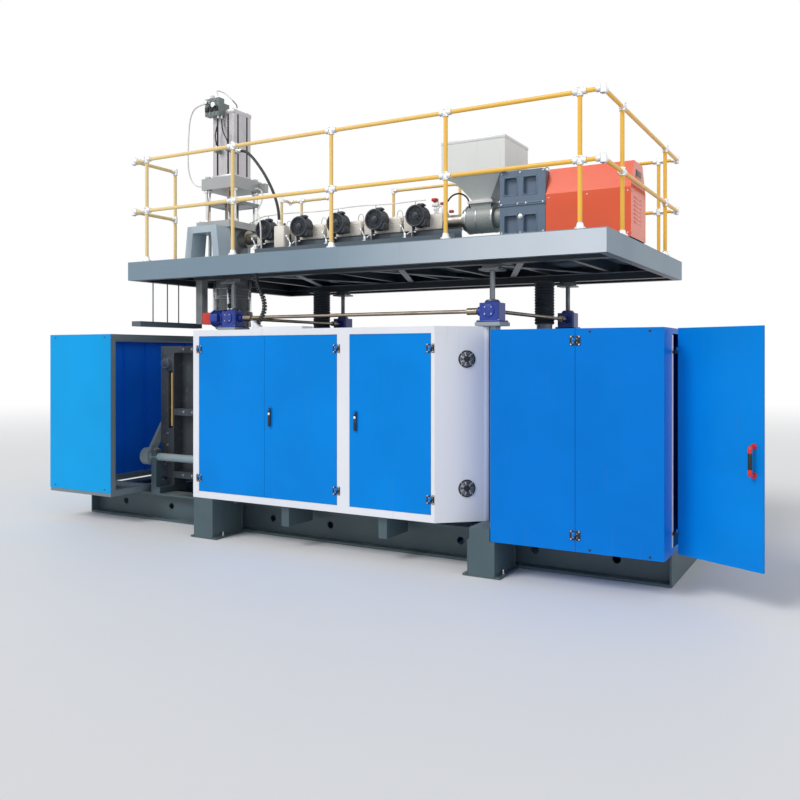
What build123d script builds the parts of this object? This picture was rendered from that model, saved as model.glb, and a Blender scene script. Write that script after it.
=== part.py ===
from build123d import *
import os
from math import atan2, cos, degrees, radians, sin, sqrt, tan

os.makedirs("parts", exist_ok=True)

# Blow moulding machine: a welded base carries cabinets, a mould clamp and a lifting platform with the
# extruder and the die head. Millimetres, +Z up, origin on the floor at the centre of the anchor holes.

# Driving dimensions: base and feet
foot_x = 1407.0
foot_width = 228.0
foot_reach = 1322.0
foot_height = 280.0
foot_flange = 40.0
foot_plate = 16.0
anchor_radius = 9.0
anchor_inset = 122.0
base_left = -3400.0
base_right = 2746.0
base_height = 280.0
beam_face = 903.0
beam_width = 200.0
beam_web = 14.0
beam_flange = 20.0
cross_count = 10
web_hole_radius = 32.0
web_hole_z = 140.0

# Driving dimensions: sheet metal
sheet = 4.0
gap = 3.0
door_depth = 22.0
touch_gap = 0.3

# Driving dimensions: white cabinet
cab_left = -1529.0
cab_right = 1010.0
cab_end = 1347.0
cab_back = -1024.0
cab_bottom = 377.0
cab_top = 1936.0
door_bottom = 438.0
door_top = 1880.0
double_left = -1458.0
double_right = 87.0
single_left = 211.0
single_right = 979.0
hinge_z_upper = 1760.0
hinge_z_lower = 560.0
handle_z = 1156.0
handle_inset = 66.0
fan_radius = 60.0
fan_share = 0.59
fan_z_upper = 1674.0
fan_z_lower = 644.0

# Driving dimensions: right enclosure
enc_left = 1487.0
enc_right = 2780.0
enc_top = 1900.0
enc_seam = 2151.0
enc_frame = 40.0
end_door_front = -1037.0
end_door_back = -378.0
end_door_open = 116.0

# Driving dimensions: left guard
guard_left = -3538.0
guard_right = -2634.0
guard_bottom = 315.0
guard_top = 1917.0
guard_tube = 60.0
guard_fold = 346.0

# Driving dimensions: platform
deck_half_x = 2388.0
deck_half_y = 1322.0
deck_top = 2620.0
deck_depth = 180.0
deck_plate = 6.0
channel_web = 8.0
channel_flange = 75.0
channel_lip = 10.0
joist_count = 7
joist_height = 100.0
joist_width = 50.0
brace_width = 60.0
brace_thick = 8.0

# Driving dimensions: railing
rail_radius = 17.0
rail_height = 1000.0
rail_mid = 500.0
post_pitch = 1087.0
rail_inset = 42.0
sleeve_radius = 25.0
sleeve_length = 64.0
post_foot_radius = 42.0
post_foot_height = 12.0

# Driving dimensions: lift
jack_x = 1350.0
jack_y = 960.0
jack_column = 100.0
jack_plate = 30.0
jack_top = 1940.0
jack_box = 170.0
screw_radius = 22.0
shaft_z = 2062.0
shaft_radius = 16.0
lift_down = 100.0
guide_radius = 90.0
guide_wall = 12.0
guide_shift = -190.0

# Driving dimensions: extruder and die head, on one axis
axis_y = -100.0
head_x = -2110.0
axis_z = 2960.0
head_radius = 174.0
head_bottom = 1990.0
barrel_radius = 62.0
screw_bore = 32.0
cover_radius = 95.0
blower_radius = 98.0
blower_first = -1474.0
blower_pitch = 446.0
blower_count = 5
gearbox_left = 1159.0
gearbox_right = 1580.0
gearbox_bottom = 2756.0
gearbox_top = 3315.0
gearbox_half_y = 250.0
motor_right = 2310.0
motor_bottom = 2674.0
motor_shoulder = 3083.0
motor_top = 3318.0
hopper_x = 910.0
hopper_side = 620.0
hopper_top = 3640.0
hopper_box = 3320.0
throat_side = 190.0
throat_top = 3129.0

# Driving dimensions: accumulator tower
stand_foot = 500.0
stand_head = 395.0
stand_half_y = 478.0
stand_depth = 213.0
stand_top = 3062.0
tower_shoulder = 3134.0
plate_side = 460.0
plate_low = 3495.0
plate_high = 3615.0
cylinder_side = 296.0
cylinder_top = 4355.0
valve_low = 4290.0
valve_top = 4475.0
valve_left = -2290.0
valve_right = -2090.0
valve_depth = 82.0

# Driving dimensions: hoses, given by their routes
hose_white = 16.0
hose_thick = 30.0
hose_black = 14.0
chain_width = 32.0
junction_left = -1345.0
junction_right = -1215.0
junction_top = 3030.0
duct_left = -860.0
duct_right = -290.0
duct_height = 22.0

# Driving dimensions: mould clamp
platen_width = 876.0
platen_bottom = 420.0
platen_top = 1800.0
platen_thick = 50.0
daylight_half = 450.0
rib_depth = 120.0
rib_width = 185.0
tie_radius = 35.0
tie_inset = 180.0
sync_y = -860.0
sync_z = 650.0
sync_radius = 40.0
lever_length = 364.0
lever_lean = 33.0


def block(x0, x1, y0, y1, z0, z1, mode=Mode.ADD):
    """Add or cut a square-edged block between two corners of the current part."""
    with Locations(((x0 + x1) / 2, (y0 + y1) / 2, (z0 + z1) / 2)):
        Box(x1 - x0, y1 - y0, z1 - z0, mode=mode)


def round_bar(start, direction, length, radius, mode=Mode.ADD):
    """Add or cut a round bar from a start point along a direction."""
    with BuildSketch(Plane(origin=start, z_dir=direction)) as section:
        Circle(radius)
    extrude(section.sketch, amount=length, mode=mode)


def tube(start, direction, length, radius, bore):
    """Add a round tube from a start point along a direction."""
    with BuildSketch(Plane(origin=start, z_dir=direction)) as section:
        Circle(radius)
        Circle(bore, mode=Mode.SUBTRACT)
    extrude(section.sketch, amount=length)


def i_section(height, width, web, flange):
    """Draw an I-beam section standing on the sketch's own X axis."""
    with Locations((0, height / 2)):
        Rectangle(width, height)
    for side in (-1, 1):
        with Locations((side * (web + width) / 4, height / 2)):
            Rectangle((width - web) / 2, height - 2 * flange, mode=Mode.SUBTRACT)


def hose(points, diameter, least=3.0):
    """Sweep a round hose along straight runs joined by arcs as large as the runs allow."""
    spots = [Vector(*point) for point in points]
    runs = [end - start for start, end in zip(spots[:-1], spots[1:])]
    radii = []
    for before, after in zip(runs[:-1], runs[1:]):
        radii.append(0.45 * min(before.length, after.length) / tan(radians(before.get_angle(after)) / 2))
    print("hose", diameter, "radii in diameters", [round(radius / diameter, 1) for radius in radii])
    if min(radii) < least * diameter:
        raise ValueError("a bend is too tight")
    with BuildPart() as swept:
        with BuildLine() as route:
            FilletPolyline(*spots, radius=radii)
        with BuildSketch(Plane(origin=spots[0], z_dir=runs[0])):
            Circle(diameter / 2)
        sweep(path=route.wires()[0])
    straight = swept.part.volume / (route.wires()[0].length * diameter**2 * 0.7853981634)
    print("hose", diameter, "length", round(route.wires()[0].length), "volume share", round(straight, 4))
    return swept.part


# Base: two long I-beams joined by cross beams and closed by end plates
beam_y = beam_face - beam_width / 2
cross_pitch = (base_right - base_left - beam_width) / (cross_count - 1)
cross_width = 120.0
cross_x = [base_left + beam_width / 2 + i * cross_pitch for i in range(cross_count)]
with BuildPart() as base_frame:
    for side in (-1, 1):
        with BuildSketch(Plane(origin=(base_left, side * beam_y, 0), x_dir=(0, 1, 0), z_dir=(1, 0, 0))):
            i_section(base_height, beam_width, beam_web, beam_flange)
    extrude(amount=base_right - base_left)
    for x in cross_x:
        with BuildSketch(Plane(origin=(x, beam_y, 0), x_dir=(1, 0, 0), z_dir=(0, -1, 0))):
            i_section(base_height, cross_width, beam_web, beam_flange)
        extrude(amount=2 * beam_y)
    for x in (base_left, base_right - beam_web):
        block(x, x + beam_web, -beam_face, beam_face, 0, base_height)
    with Locations(*[(x + cross_pitch / 2, 0, web_hole_z) for x in cross_x[:-1]]):
        Cylinder(web_hole_radius, 2 * beam_face, rotation=(90, 0, 0), mode=Mode.SUBTRACT)
base_frame.part.label = "base_frame"
export_step(base_frame.part, "parts/base_frame.step")

# Feet: four welded boxes that reach out under the cabinets, each on a drilled sole plate
foot_half = foot_width / 2
riser_half = 85.0
riser_shift = 12.0
riser_gap = 16.0
bracket_x = 500.0
with BuildPart() as base_feet:
    for side_x in (-1, 1):
        for side_y in (-1, 1):
            mid_x = side_x * foot_x
            low_y = min(side_y * beam_face, side_y * foot_reach)
            high_y = max(side_y * beam_face, side_y * foot_reach)
            block(mid_x - foot_half, mid_x + foot_half, low_y, high_y, 0, foot_height)
            block(mid_x - foot_half - foot_flange, mid_x + foot_half + foot_flange, low_y, high_y, 0, foot_plate)
    lip_x = foot_half + foot_flange / 2
    with Locations(*[
        (side_x * foot_x + lip * lip_x, side_y * (foot_reach - anchor_inset), foot_plate / 2)
        for side_x in (-1, 1)
        for side_y in (-1, 1)
        for lip in (-1, 1)
    ]):
        Cylinder(anchor_radius, foot_plate, mode=Mode.SUBTRACT)
    for mid_x, half in ((-foot_x, foot_half), (foot_x - riser_shift, riser_half)):
        block(mid_x - half, mid_x + half, -foot_reach, cab_back - riser_gap, foot_height, cab_bottom)
    for x in (-bracket_x, bracket_x):
        block(x - 40, x + 40, cab_back - 240, -beam_face, base_height - 90, cab_bottom)
base_feet.part.label = "base_feet"
export_step(base_feet.part, "parts/base_feet.step")

# White cabinet: one folded shell with a chamfered right end, a mullion and two door openings
cab_front = -foot_reach
chamfer_x = cab_end - cab_right
chamfer_y = cab_back - cab_front
chamfer_angle = degrees(atan2(chamfer_y, chamfer_x))
fan_x = cab_right + fan_share * chamfer_x
fan_y = cab_front + fan_share * chamfer_y
chain_end_x = -800.0
chain_inset = 48.0
chain_y = cab_front + chain_inset
chain_foot_half = 30.0
with BuildPart() as cabinet_shell:
    with BuildSketch(Plane.XY.offset(cab_bottom)):
        with BuildLine():
            Polyline(
                (cab_left, cab_front), (cab_right, cab_front), (cab_end, cab_back), (cab_left, cab_back),
                close=True,
            )
        make_face()
    extrude(amount=cab_top - cab_bottom)
    offset(amount=-sheet, kind=Kind.INTERSECTION, mode=Mode.SUBTRACT)
    for left, right in ((double_left, double_right), (single_left, single_right)):
        block(left, right, cab_front - sheet, cab_front + 2 * sheet, door_bottom, door_top, Mode.SUBTRACT)
    for z in (fan_z_upper, fan_z_lower):
        with Locations(Plane((fan_x, fan_y, z), x_dir=(cos(radians(chamfer_angle)), sin(radians(chamfer_angle)), 0),
                             z_dir=(sin(radians(chamfer_angle)), -cos(radians(chamfer_angle)), 0))):
            Cylinder(fan_radius, 4 * sheet, mode=Mode.SUBTRACT)
    block(duct_left, duct_right, cab_front + 22, cab_front + 180, cab_top, cab_top + duct_height)
    with BuildSketch(Plane.XZ.offset(chain_foot_half - chain_y)):
        with Locations((chain_end_x, cab_top + duct_height)):
            Polygon((-40, 0), (40, 0), (-40, 60), align=None)
    extrude(amount=-2 * chain_foot_half)
cabinet_shell.part.label = "cabinet_shell"
export_step(cabinet_shell.part, "parts/cabinet_shell.step")


def tray(left, right, bottom, top, front, depth):
    """Add a folded door leaf: a face sheet with returns all round, open at the back."""
    block(left, right, front, front + depth, bottom, top)
    block(left + sheet, right - sheet, front + sheet, front + depth, bottom + sheet, top - sheet, Mode.SUBTRACT)


hinge_reach = 24.0
hinge_half = 22.0
hinge_radius = 6.0
hinge_offset = 9.0
leaf_thick = 5.0


def hinge_half_leaf(axis_x, face, side, z, upper):
    """Add one leaf of a surface hinge with its half of the barrel.

    The barrel axis stands hinge_offset in front of the face, and side tells which way the leaf points.
    """
    axis_front = cab_front - hinge_offset
    near = side * (hinge_radius + 1)
    far = side * hinge_reach
    block(axis_x + min(near, far), axis_x + max(near, far), face - leaf_thick, face, z - hinge_half, z + hinge_half)
    low = z + touch_gap if upper else z - hinge_half
    high = z + hinge_half if upper else z - touch_gap
    block(axis_x + min(0, near), axis_x + max(0, near), face - leaf_thick, face, low, high)
    round_bar((axis_x, axis_front, low), (0, 0, 1), high - low, hinge_radius)


# Cabinet doors: two leaves over the wide opening and one over the narrow one, each with its hinge leaves.
# Two of them carry the dish of a swing handle, with a stub at its upper end for the lever.
door_face = cab_front - 2.0
double_mid = (double_left + double_right) / 2
door_spans = {
    "cabinet_door_left": (double_left + gap, double_mid - gap / 2, double_left, 1),
    "cabinet_door_middle": (double_mid + gap / 2, double_right - gap, double_right, -1),
    "cabinet_door_right": (single_left + gap, single_right - gap, single_right, -1),
}
handle_length = 165.0
handle_width = 26.0
dish_thick = 8.0
lever_thick = 14.0
lever_stand = 16.0
stub_radius = 7.0
stub_z = handle_z + handle_length / 2 - 15
dish_face = door_face - dish_thick
handle_spots = {"cabinet_door_middle": double_mid + handle_inset, "cabinet_door_right": single_left + handle_inset}
for name, (left, right, axis_x, side) in door_spans.items():
    with BuildPart() as cabinet_door:
        tray(left, right, door_bottom + gap, door_top - gap, door_face, door_depth)
        for z in (hinge_z_lower, hinge_z_upper):
            hinge_half_leaf(axis_x, door_face, side, z, True)
        if name in handle_spots:
            dish_x = handle_spots[name]
            with BuildSketch(Plane(origin=(dish_x, door_face, handle_z), x_dir=(1, 0, 0), z_dir=(0, -1, 0))):
                SlotOverall(handle_length + 24, handle_width + 10, rotation=90)
            extrude(amount=dish_thick)
            round_bar((dish_x, dish_face, stub_z), (0, -1, 0), lever_stand, stub_radius)
    cabinet_door.part.label = name
    export_step(cabinet_door.part, f"parts/{name}.step")

for name, x in handle_spots.items():
    lever_back = dish_face - touch_gap
    lever_name = name.replace("door", "handle")
    with BuildPart() as handle_lever:
        with BuildSketch(Plane(origin=(x, lever_back, handle_z), x_dir=(1, 0, 0), z_dir=(0, -1, 0))):
            SlotOverall(handle_length, handle_width, rotation=90)
        extrude(amount=lever_thick)
        fillet(handle_lever.faces().sort_by(Axis.Y)[0].edges(), 4)
        round_bar((x, lever_back, stub_z), (0, -1, 0), lever_thick, stub_radius + touch_gap, Mode.SUBTRACT)
    handle_lever.part.label = lever_name
    export_step(handle_lever.part, f"parts/{lever_name}.step")

# Cabinet vents: a guard ring with ribs on the chamfered panel, and a rotor on a spindle behind it
vent_depth = 40.0
guard_ring = 10.0
guard_thick = 5.0
hub_radius = 20.0
spindle_radius = 5.0
rotor_depth = 22.0
blade_count = 7
chamfer_dir = Vector(chamfer_x, chamfer_y, 0).normalized()
chamfer_out = Vector(chamfer_y, -chamfer_x, 0).normalized()
vent_names = {"upper": fan_z_upper, "lower": fan_z_lower}
with BuildPart() as vent_housings:
    for z in vent_names.values():
        centre = Vector(fan_x, fan_y, z)
        ring_plane = Plane(origin=centre, x_dir=chamfer_dir, z_dir=chamfer_out)
        with BuildSketch(ring_plane):
            Circle(fan_radius + guard_ring)
            Circle(fan_radius - 4, mode=Mode.SUBTRACT)
        extrude(amount=guard_thick)
        with BuildSketch(ring_plane):
            Circle(hub_radius + 4)
            for angle in (0, 60, 120):
                Rectangle(2 * fan_radius, 6, rotation=angle)
        extrude(amount=guard_thick)
        with BuildSketch(ring_plane.offset(-vent_depth)):
            Circle(fan_radius - 1)
            Circle(fan_radius - 4, mode=Mode.SUBTRACT)
        extrude(amount=vent_depth)
        round_bar(centre, -chamfer_out, vent_depth - 4, spindle_radius)
vent_housings.part.label = "vent_housings"
export_step(vent_housings.part, "parts/vent_housings.step")
for label, z in vent_names.items():
    rotor_plane = Plane(origin=Vector(fan_x, fan_y, z) - chamfer_out * 5, x_dir=chamfer_dir, z_dir=-chamfer_out)
    with BuildPart() as vent_rotor:
        with BuildSketch(rotor_plane):
            Circle(hub_radius)
            for i in range(blade_count):
                with PolarLocations((hub_radius + fan_radius - 10) / 2, 1, start_angle=i * 360 / blade_count):
                    Rectangle(fan_radius - hub_radius, 12)
            Circle(spindle_radius + 0.1, mode=Mode.SUBTRACT)
        extrude(amount=rotor_depth)
    vent_rotor.part.label = f"vent_rotor_{label}"
    export_step(vent_rotor.part, f"parts/vent_rotor_{label}.step")

# Right enclosure: a box frame skinned by folded leaves front and back, with an opening in its end wall
enc_front = -foot_reach
enc_bottom = base_height
leaf = door_depth + 2.0
enc_body_y = foot_reach - leaf
end_sill = enc_bottom + enc_frame
end_lintel = enc_top - enc_frame
with BuildPart() as enclosure_shell:
    block(enc_left, enc_right, -enc_body_y, enc_body_y, enc_bottom, enc_top)
    block(enc_left + sheet, enc_right - sheet, -enc_body_y + sheet, enc_body_y - sheet, enc_bottom + sheet,
          enc_top - sheet, Mode.SUBTRACT)
    block(enc_left + enc_frame, enc_seam - enc_frame, -foot_reach, -enc_body_y + 2 * sheet, end_sill, end_lintel,
          Mode.SUBTRACT)
    block(enc_right - 2 * sheet, enc_right + sheet, end_door_front + gap, end_door_back - gap, end_sill, end_lintel,
          Mode.SUBTRACT)
enclosure_shell.part.label = "enclosure_shell"
export_step(enclosure_shell.part, "parts/enclosure_shell.step")

with BuildPart() as enclosure_panels:
    tray(enc_seam + gap / 2, enc_right, enc_bottom + gap, enc_top, enc_front, leaf)
    for left, right in ((enc_left, enc_seam - gap / 2), (enc_seam + gap / 2, enc_right)):
        block(left, right, enc_body_y, foot_reach, enc_bottom + gap, enc_top)
        block(left + sheet, right - sheet, enc_body_y, foot_reach - sheet, enc_bottom + gap + sheet, enc_top - sheet,
              Mode.SUBTRACT)
enclosure_panels.part.label = "enclosure_panels"
export_step(enclosure_panels.part, "parts/enclosure_panels.step")

with BuildPart() as enclosure_front_door:
    tray(enc_left, enc_seam - gap / 2, enc_bottom + gap, enc_top, enc_front, door_depth)
    for z in (enc_bottom + 120, enc_top - 90):
        hinge_half_leaf(enc_seam, enc_front, -1, z, True)
enclosure_front_door.part.label = "enclosure_front_door"
export_step(enclosure_front_door.part, "parts/enclosure_front_door.step")

end_axis_x = enc_right + leaf + 6.0
end_axis_y = end_door_front - gap
end_hinge_z = (enc_bottom + 160, enc_top - 160)

# The hinge leaves that stay on the cabinet face and beside the seam of the blue front
with BuildPart() as door_hinges:
    for left, right, axis_x, side in door_spans.values():
        for z in (hinge_z_lower, hinge_z_upper):
            hinge_half_leaf(axis_x, cab_front, -side, z, False)
    for z in (enc_bottom + 120, enc_top - 90):
        hinge_half_leaf(enc_seam, enc_front, 1, z, False)
    for z in end_hinge_z:
        low = z - hinge_half
        high = z - touch_gap
        block(enc_right, end_axis_x, end_axis_y - hinge_radius, end_axis_y - 1, low, high)
        block(enc_right, enc_right + leaf_thick, end_axis_y - hinge_reach - hinge_radius, end_axis_y - 1, low, high)
        round_bar((end_axis_x, end_axis_y, low), (0, 0, 1), high - low, hinge_radius)
door_hinges.part.label = "door_hinges"
export_step(door_hinges.part, "parts/door_hinges.step")

# End door of the enclosure, drawn shut and turned about its hinge to stand open, with a D handle
pull_length = 190.0
pull_radius = 13.0
pull_reach = 48.0
pull_z = 1010.0
pull_y = end_door_back - end_door_front - 60.0
open_place = Location((end_axis_x, end_axis_y, 0), (0, 0, -end_door_open))
with BuildPart() as enclosure_end_door:
    with Locations(open_place):
        block(-leaf - 2, -6, gap, end_door_back - end_axis_y, enc_bottom + gap, enc_top)
        block(-leaf - 2, -6 - sheet, gap + sheet, end_door_back - end_axis_y - sheet, enc_bottom + gap + sheet,
              enc_top - sheet, Mode.SUBTRACT)
        for z in end_hinge_z:
            block(-6, -1, 0, hinge_reach, z + touch_gap, z + hinge_half)
            block(-6, hinge_radius - 1, -1, 1, z + touch_gap, z + hinge_half)
            with Locations((0, 0, z + (touch_gap + hinge_half) / 2)):
                Cylinder(hinge_radius, hinge_half - touch_gap)
    end_door_leaf = enclosure_end_door.part

half_pull = pull_length / 2
with BuildPart() as end_door_pull:
    with BuildLine(Plane.XZ) as pull_line:
        FilletPolyline((0, -half_pull), (pull_reach, -half_pull), (pull_reach, half_pull), (0, half_pull), radius=24)
    with BuildSketch(Plane(origin=(0, 0, -half_pull), z_dir=(1, 0, 0))):
        Circle(pull_radius)
    sweep(path=pull_line.wires()[0])
end_door = end_door_leaf + open_place * Location((-6, pull_y, pull_z)) * end_door_pull.part
end_door.label = "enclosure_end_door"
export_step(end_door, "parts/enclosure_end_door.step")

# Left guard: a square-tube cage on the base, closed by sheet panels in front, at the end and behind
cage_x0 = guard_left + sheet
cage_x1 = guard_right
cage_y = foot_reach - sheet
cage_floor = base_height + guard_tube
cage_roof = guard_top - guard_tube
with BuildPart() as guard_cage:
    for x in (cage_x0, cage_x1 - guard_tube):
        for low in (base_height, cage_roof):
            block(x, x + guard_tube, -cage_y, cage_y, low, low + guard_tube)
        for y in (-cage_y, cage_y - guard_tube):
            block(x, x + guard_tube, y, y + guard_tube, base_height, guard_top)
    for y in (-cage_y, cage_y - guard_tube):
        for low in (base_height, cage_roof):
            block(cage_x0, cage_x1, y, y + guard_tube, low, low + guard_tube)
    for side in (-1, 1):
        mid_y = side * beam_y
        block(cage_x0, cage_x1, mid_y - guard_tube / 2, mid_y + guard_tube / 2, base_height, cage_floor)
fold_count = round(2 * cage_y / guard_fold)
fold_pitch = 2 * cage_y / fold_count
fold_depth = 18.0
rear_posts = [-foot_x - guard_tube, -guard_tube / 2, foot_x]
rear_edges = [guard_right] + [x + guard_tube / 2 for x in rear_posts[:2]] + [enc_left]
with BuildPart() as guard_panels:
    for low_y in (-foot_reach, cage_y):
        block(guard_left, guard_right, low_y, low_y + sheet, guard_bottom, guard_top)
    block(guard_left, guard_left + sheet, -cage_y, cage_y, guard_bottom, guard_top)
    for i in range(1, fold_count):
        y = -cage_y + i * fold_pitch
        block(guard_left, guard_left + fold_depth, y - sheet, y + sheet, cage_floor + gap, cage_roof - gap)
    for left, right in zip(rear_edges[:-1], rear_edges[1:]):
        block(left + gap, right - gap, cage_y, foot_reach, guard_bottom, guard_top)
guard_panels.part.label = "guard_panels"
export_step(guard_panels.part, "parts/guard_panels.step")

# Rails behind the machine carry the rear panels between the cage and the right enclosure
with BuildPart() as guard_frame:
    add(guard_cage.part)
    for low in (base_height, cage_roof):
        block(cage_x1, enc_left, cage_y - guard_tube, cage_y, low, low + guard_tube)
    for x in rear_posts:
        block(x, x + guard_tube, cage_y - guard_tube, cage_y, cage_floor, cage_roof)
guard_frame.part.label = "guard_frame"
export_step(guard_frame.part, "parts/guard_frame.step")

# Lift: four box columns on the feet, each with a cap plate and a worm gearbox that drives a screw, and two
# guide posts on the rear beam that reach into sleeves under the platform
corners = [(sx * jack_x, sy * jack_y) for sx in (-1, 1) for sy in (-1, 1)]
column_half = jack_column / 2
column_wall = 8.0
cap_half = 108.0
cap_top = jack_top + jack_plate
box_half = jack_box / 2
box_top = 2142.0
screw_clear = screw_radius + touch_gap
deck_bottom = deck_top - deck_depth
guide_spots = [(side * jack_x + guide_shift, beam_y) for side in (-1, 1)]
post_radius = guide_radius - guide_wall - touch_gap
post_top = deck_bottom - lift_down - 10
with BuildPart() as lift_columns:
    for x, y in corners:
        block(x - column_half, x + column_half, y - column_half, y + column_half, foot_height, jack_top)
        block(x - cap_half, x + cap_half, y - cap_half, y + cap_half, jack_top, cap_top)
    for x, y in corners:
        inner = column_half - column_wall
        block(x - inner, x + inner, y - inner, y + inner, foot_height + column_wall, jack_top, Mode.SUBTRACT)
        round_bar((x, y, jack_top), (0, 0, 1), jack_plate, screw_clear, Mode.SUBTRACT)
    for x, y in guide_spots:
        round_bar((x, y, base_height), (0, 0, 1), post_top - base_height, post_radius)
lift_columns.part.label = "lift_columns"
export_step(lift_columns.part, "parts/lift_columns.step")

motor_body = 148.0
motor_radius = 72.0
brake_side = 112.0
boss_radius = 38.0
boss_length = 34.0
collar_radius = 62.0
collar_height = 16.0
shaft_clear = shaft_radius + 0.1
motor_x = -jack_x - box_half
brake_half = brake_side / 2
with BuildPart() as lift_gearboxes:
    round_bar((motor_x, -jack_y, shaft_z), (-1, 0, 0), motor_body, motor_radius)
    block(motor_x - motor_body - brake_side, motor_x - motor_body, -jack_y - brake_half, -jack_y + brake_half,
          shaft_z - brake_half, shaft_z + brake_half)
    for x, y in corners:
        with BuildSketch(Plane.XY.offset(cap_top)):
            with Locations((x, y)):
                RectangleRounded(jack_box, jack_box, 24)
        extrude(amount=box_top - cap_top - collar_height)
        round_bar((x, y, cap_top), (0, 0, 1), box_top - cap_top, collar_radius)
        inward_y = -1 if y > 0 else 1
        round_bar((x, y + inward_y * box_half, shaft_z), (0, inward_y, 0), boss_length, boss_radius)
        if y < 0:
            inward_x = -1 if x > 0 else 1
            round_bar((x + inward_x * box_half, y, shaft_z), (inward_x, 0, 0), boss_length, boss_radius)
    for x, y in corners:
        round_bar((x, y, cap_top), (0, 0, 1), box_top - cap_top, screw_clear, Mode.SUBTRACT)
    for x in (-jack_x, jack_x):
        inner = jack_y - box_half
        round_bar((x, -inner, shaft_z), (0, 1, 0), 2 * inner, shaft_clear, Mode.SUBTRACT)
    inner = jack_x - box_half
    round_bar((-inner, -jack_y, shaft_z), (1, 0, 0), 2 * inner, shaft_clear, Mode.SUBTRACT)
lift_gearboxes.part.label = "lift_gearboxes"
export_step(lift_gearboxes.part, "parts/lift_gearboxes.step")

coupling_radius = 28.0
coupling_length = 90.0
shaft_runs = {
    "line_shaft_front": ((-jack_x + box_half + 2, -jack_y, shaft_z), (1, 0, 0), 2 * (jack_x - box_half) - 4),
    "line_shaft_left": ((-jack_x, -jack_y + box_half + 2, shaft_z), (0, 1, 0), 2 * (jack_y - box_half) - 4),
    "line_shaft_right": ((jack_x, -jack_y + box_half + 2, shaft_z), (0, 1, 0), 2 * (jack_y - box_half) - 4),
}
for name, (start, direction, length) in shaft_runs.items():
    with BuildPart() as line_shaft:
        round_bar(start, direction, length, shaft_radius)
        for along in (boss_length + 10, length - boss_length - 10 - coupling_length):
            round_bar(Vector(start) + Vector(direction) * along, direction, coupling_length, coupling_radius)
    line_shaft.part.label = name
    export_step(line_shaft.part, f"parts/{name}.step")

# Lift screws, the brackets that tie them to the platform, and the guide sleeves that hang from it
sleeve_bottom = 2010.0
stop_x = -1755.0
stop_half = 40.0
screw_bottom = 1500.0
bracket_bottom = 2387.0
bracket_half = 85.0
with BuildPart() as lift_hangers:
    for x, y in corners:
        round_bar((x, y, screw_bottom), (0, 0, 1), bracket_bottom - screw_bottom, screw_radius)
    for x, y in corners:
        block(x - bracket_half, x + bracket_half, y - bracket_half, y + bracket_half, bracket_bottom,
              bracket_bottom + 16)
        block(x - bracket_half, x + bracket_half, y - 8, y + 8, bracket_bottom + 16, deck_bottom)
    for x, y in guide_spots:
        tube((x, y, sleeve_bottom), (0, 0, 1), deck_bottom - sleeve_bottom, guide_radius, guide_radius - guide_wall)
    block(stop_x - stop_half, stop_x + stop_half, -jack_y - stop_half, -jack_y + stop_half, sleeve_bottom, deck_bottom)
lift_hangers.part.label = "lift_hangers"
export_step(lift_hangers.part, "parts/lift_hangers.step")

# Platform: channels round the edge, joists and flat braces under a plate with a hole for the head
frame_top = deck_top - deck_plate
frame_height = frame_top - deck_bottom
joist_pitch = 2 * deck_half_x / (joist_count + 1)
joist_x = [-deck_half_x + (i + 1) * joist_pitch for i in range(joist_count)]
joist_low = frame_top - joist_height
brace_run = 2 * (deck_half_y - channel_web)
with BuildPart() as deck_frame:
    block(-deck_half_x, deck_half_x, -deck_half_y, deck_half_y, deck_bottom, frame_top)
    block(-deck_half_x + channel_web, deck_half_x - channel_web, -deck_half_y + channel_web,
          deck_half_y - channel_web, deck_bottom + channel_lip, frame_top - channel_lip, Mode.SUBTRACT)
    block(-deck_half_x + channel_flange, deck_half_x - channel_flange, -deck_half_y + channel_flange,
          deck_half_y - channel_flange, deck_bottom, frame_top, Mode.SUBTRACT)
    for x in joist_x:
        block(x - joist_width / 2, x + joist_width / 2, -deck_half_y + channel_web, deck_half_y - channel_web,
              joist_low, frame_top)
    for y in (-jack_y, jack_y):
        block(joist_x[0] - joist_width / 2, deck_half_x - channel_web, y - joist_width, y + joist_width,
              deck_bottom, joist_low)
    for i in range(1, joist_count, 2):
        with BuildSketch(Plane.XY.offset(joist_low - brace_thick)):
            mid_x = joist_x[i]
            span = 2 * joist_pitch
            for turn in (-1, 1):
                with Locations((mid_x, 0)):
                    Rectangle(sqrt(span**2 + brace_run**2) - 2 * brace_width, brace_width,
                              rotation=turn * degrees(atan2(brace_run, span)))
        extrude(amount=brace_thick)
deck_frame.part.label = "deck_frame"
export_step(deck_frame.part, "parts/deck_frame.step")

head_clear = 18.0
with BuildPart() as deck_floor:
    block(-deck_half_x, deck_half_x, -deck_half_y, deck_half_y, frame_top, deck_top)
    round_bar((head_x, axis_y, frame_top), (0, 0, 1), deck_plate, head_radius + head_clear, Mode.SUBTRACT)
deck_floor.part.label = "deck_floor"
export_step(deck_floor.part, "parts/deck_floor.step")

# Railing: posts on round feet, rails that butt against clamp sleeves at two heights
rail_y = deck_half_y - rail_inset
rail_x = deck_half_x - rail_inset
end_post_y = 760.0
left_post_y = -720.0
rear_start = -855.0
rear_left_end = -1740.0
front_line = [(i * post_pitch, -rail_y) for i in range(-2, 3)]
right_line = [(rail_x, -end_post_y), (rail_x, end_post_y)]
rear_line = [(2 * post_pitch, rail_y), (post_pitch, rail_y), (0, rail_y), (rear_start, rail_y)]
rail_paths = [
    [(-rail_x, left_post_y), (-rail_x, -rail_y)] + front_line + [(rail_x, -rail_y)] + right_line
    + [(rail_x, rail_y)] + rear_line,
    [(rear_left_end, rail_y), (-2 * post_pitch, rail_y), (-rail_x, rail_y), (-rail_x, rail_y - 180)],
]
corner_spots = [(-rail_x, -rail_y), (rail_x, -rail_y), (rail_x, rail_y), (-rail_x, rail_y)]
post_spots = [spot for path in rail_paths for spot in path if spot not in corner_spots]
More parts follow.
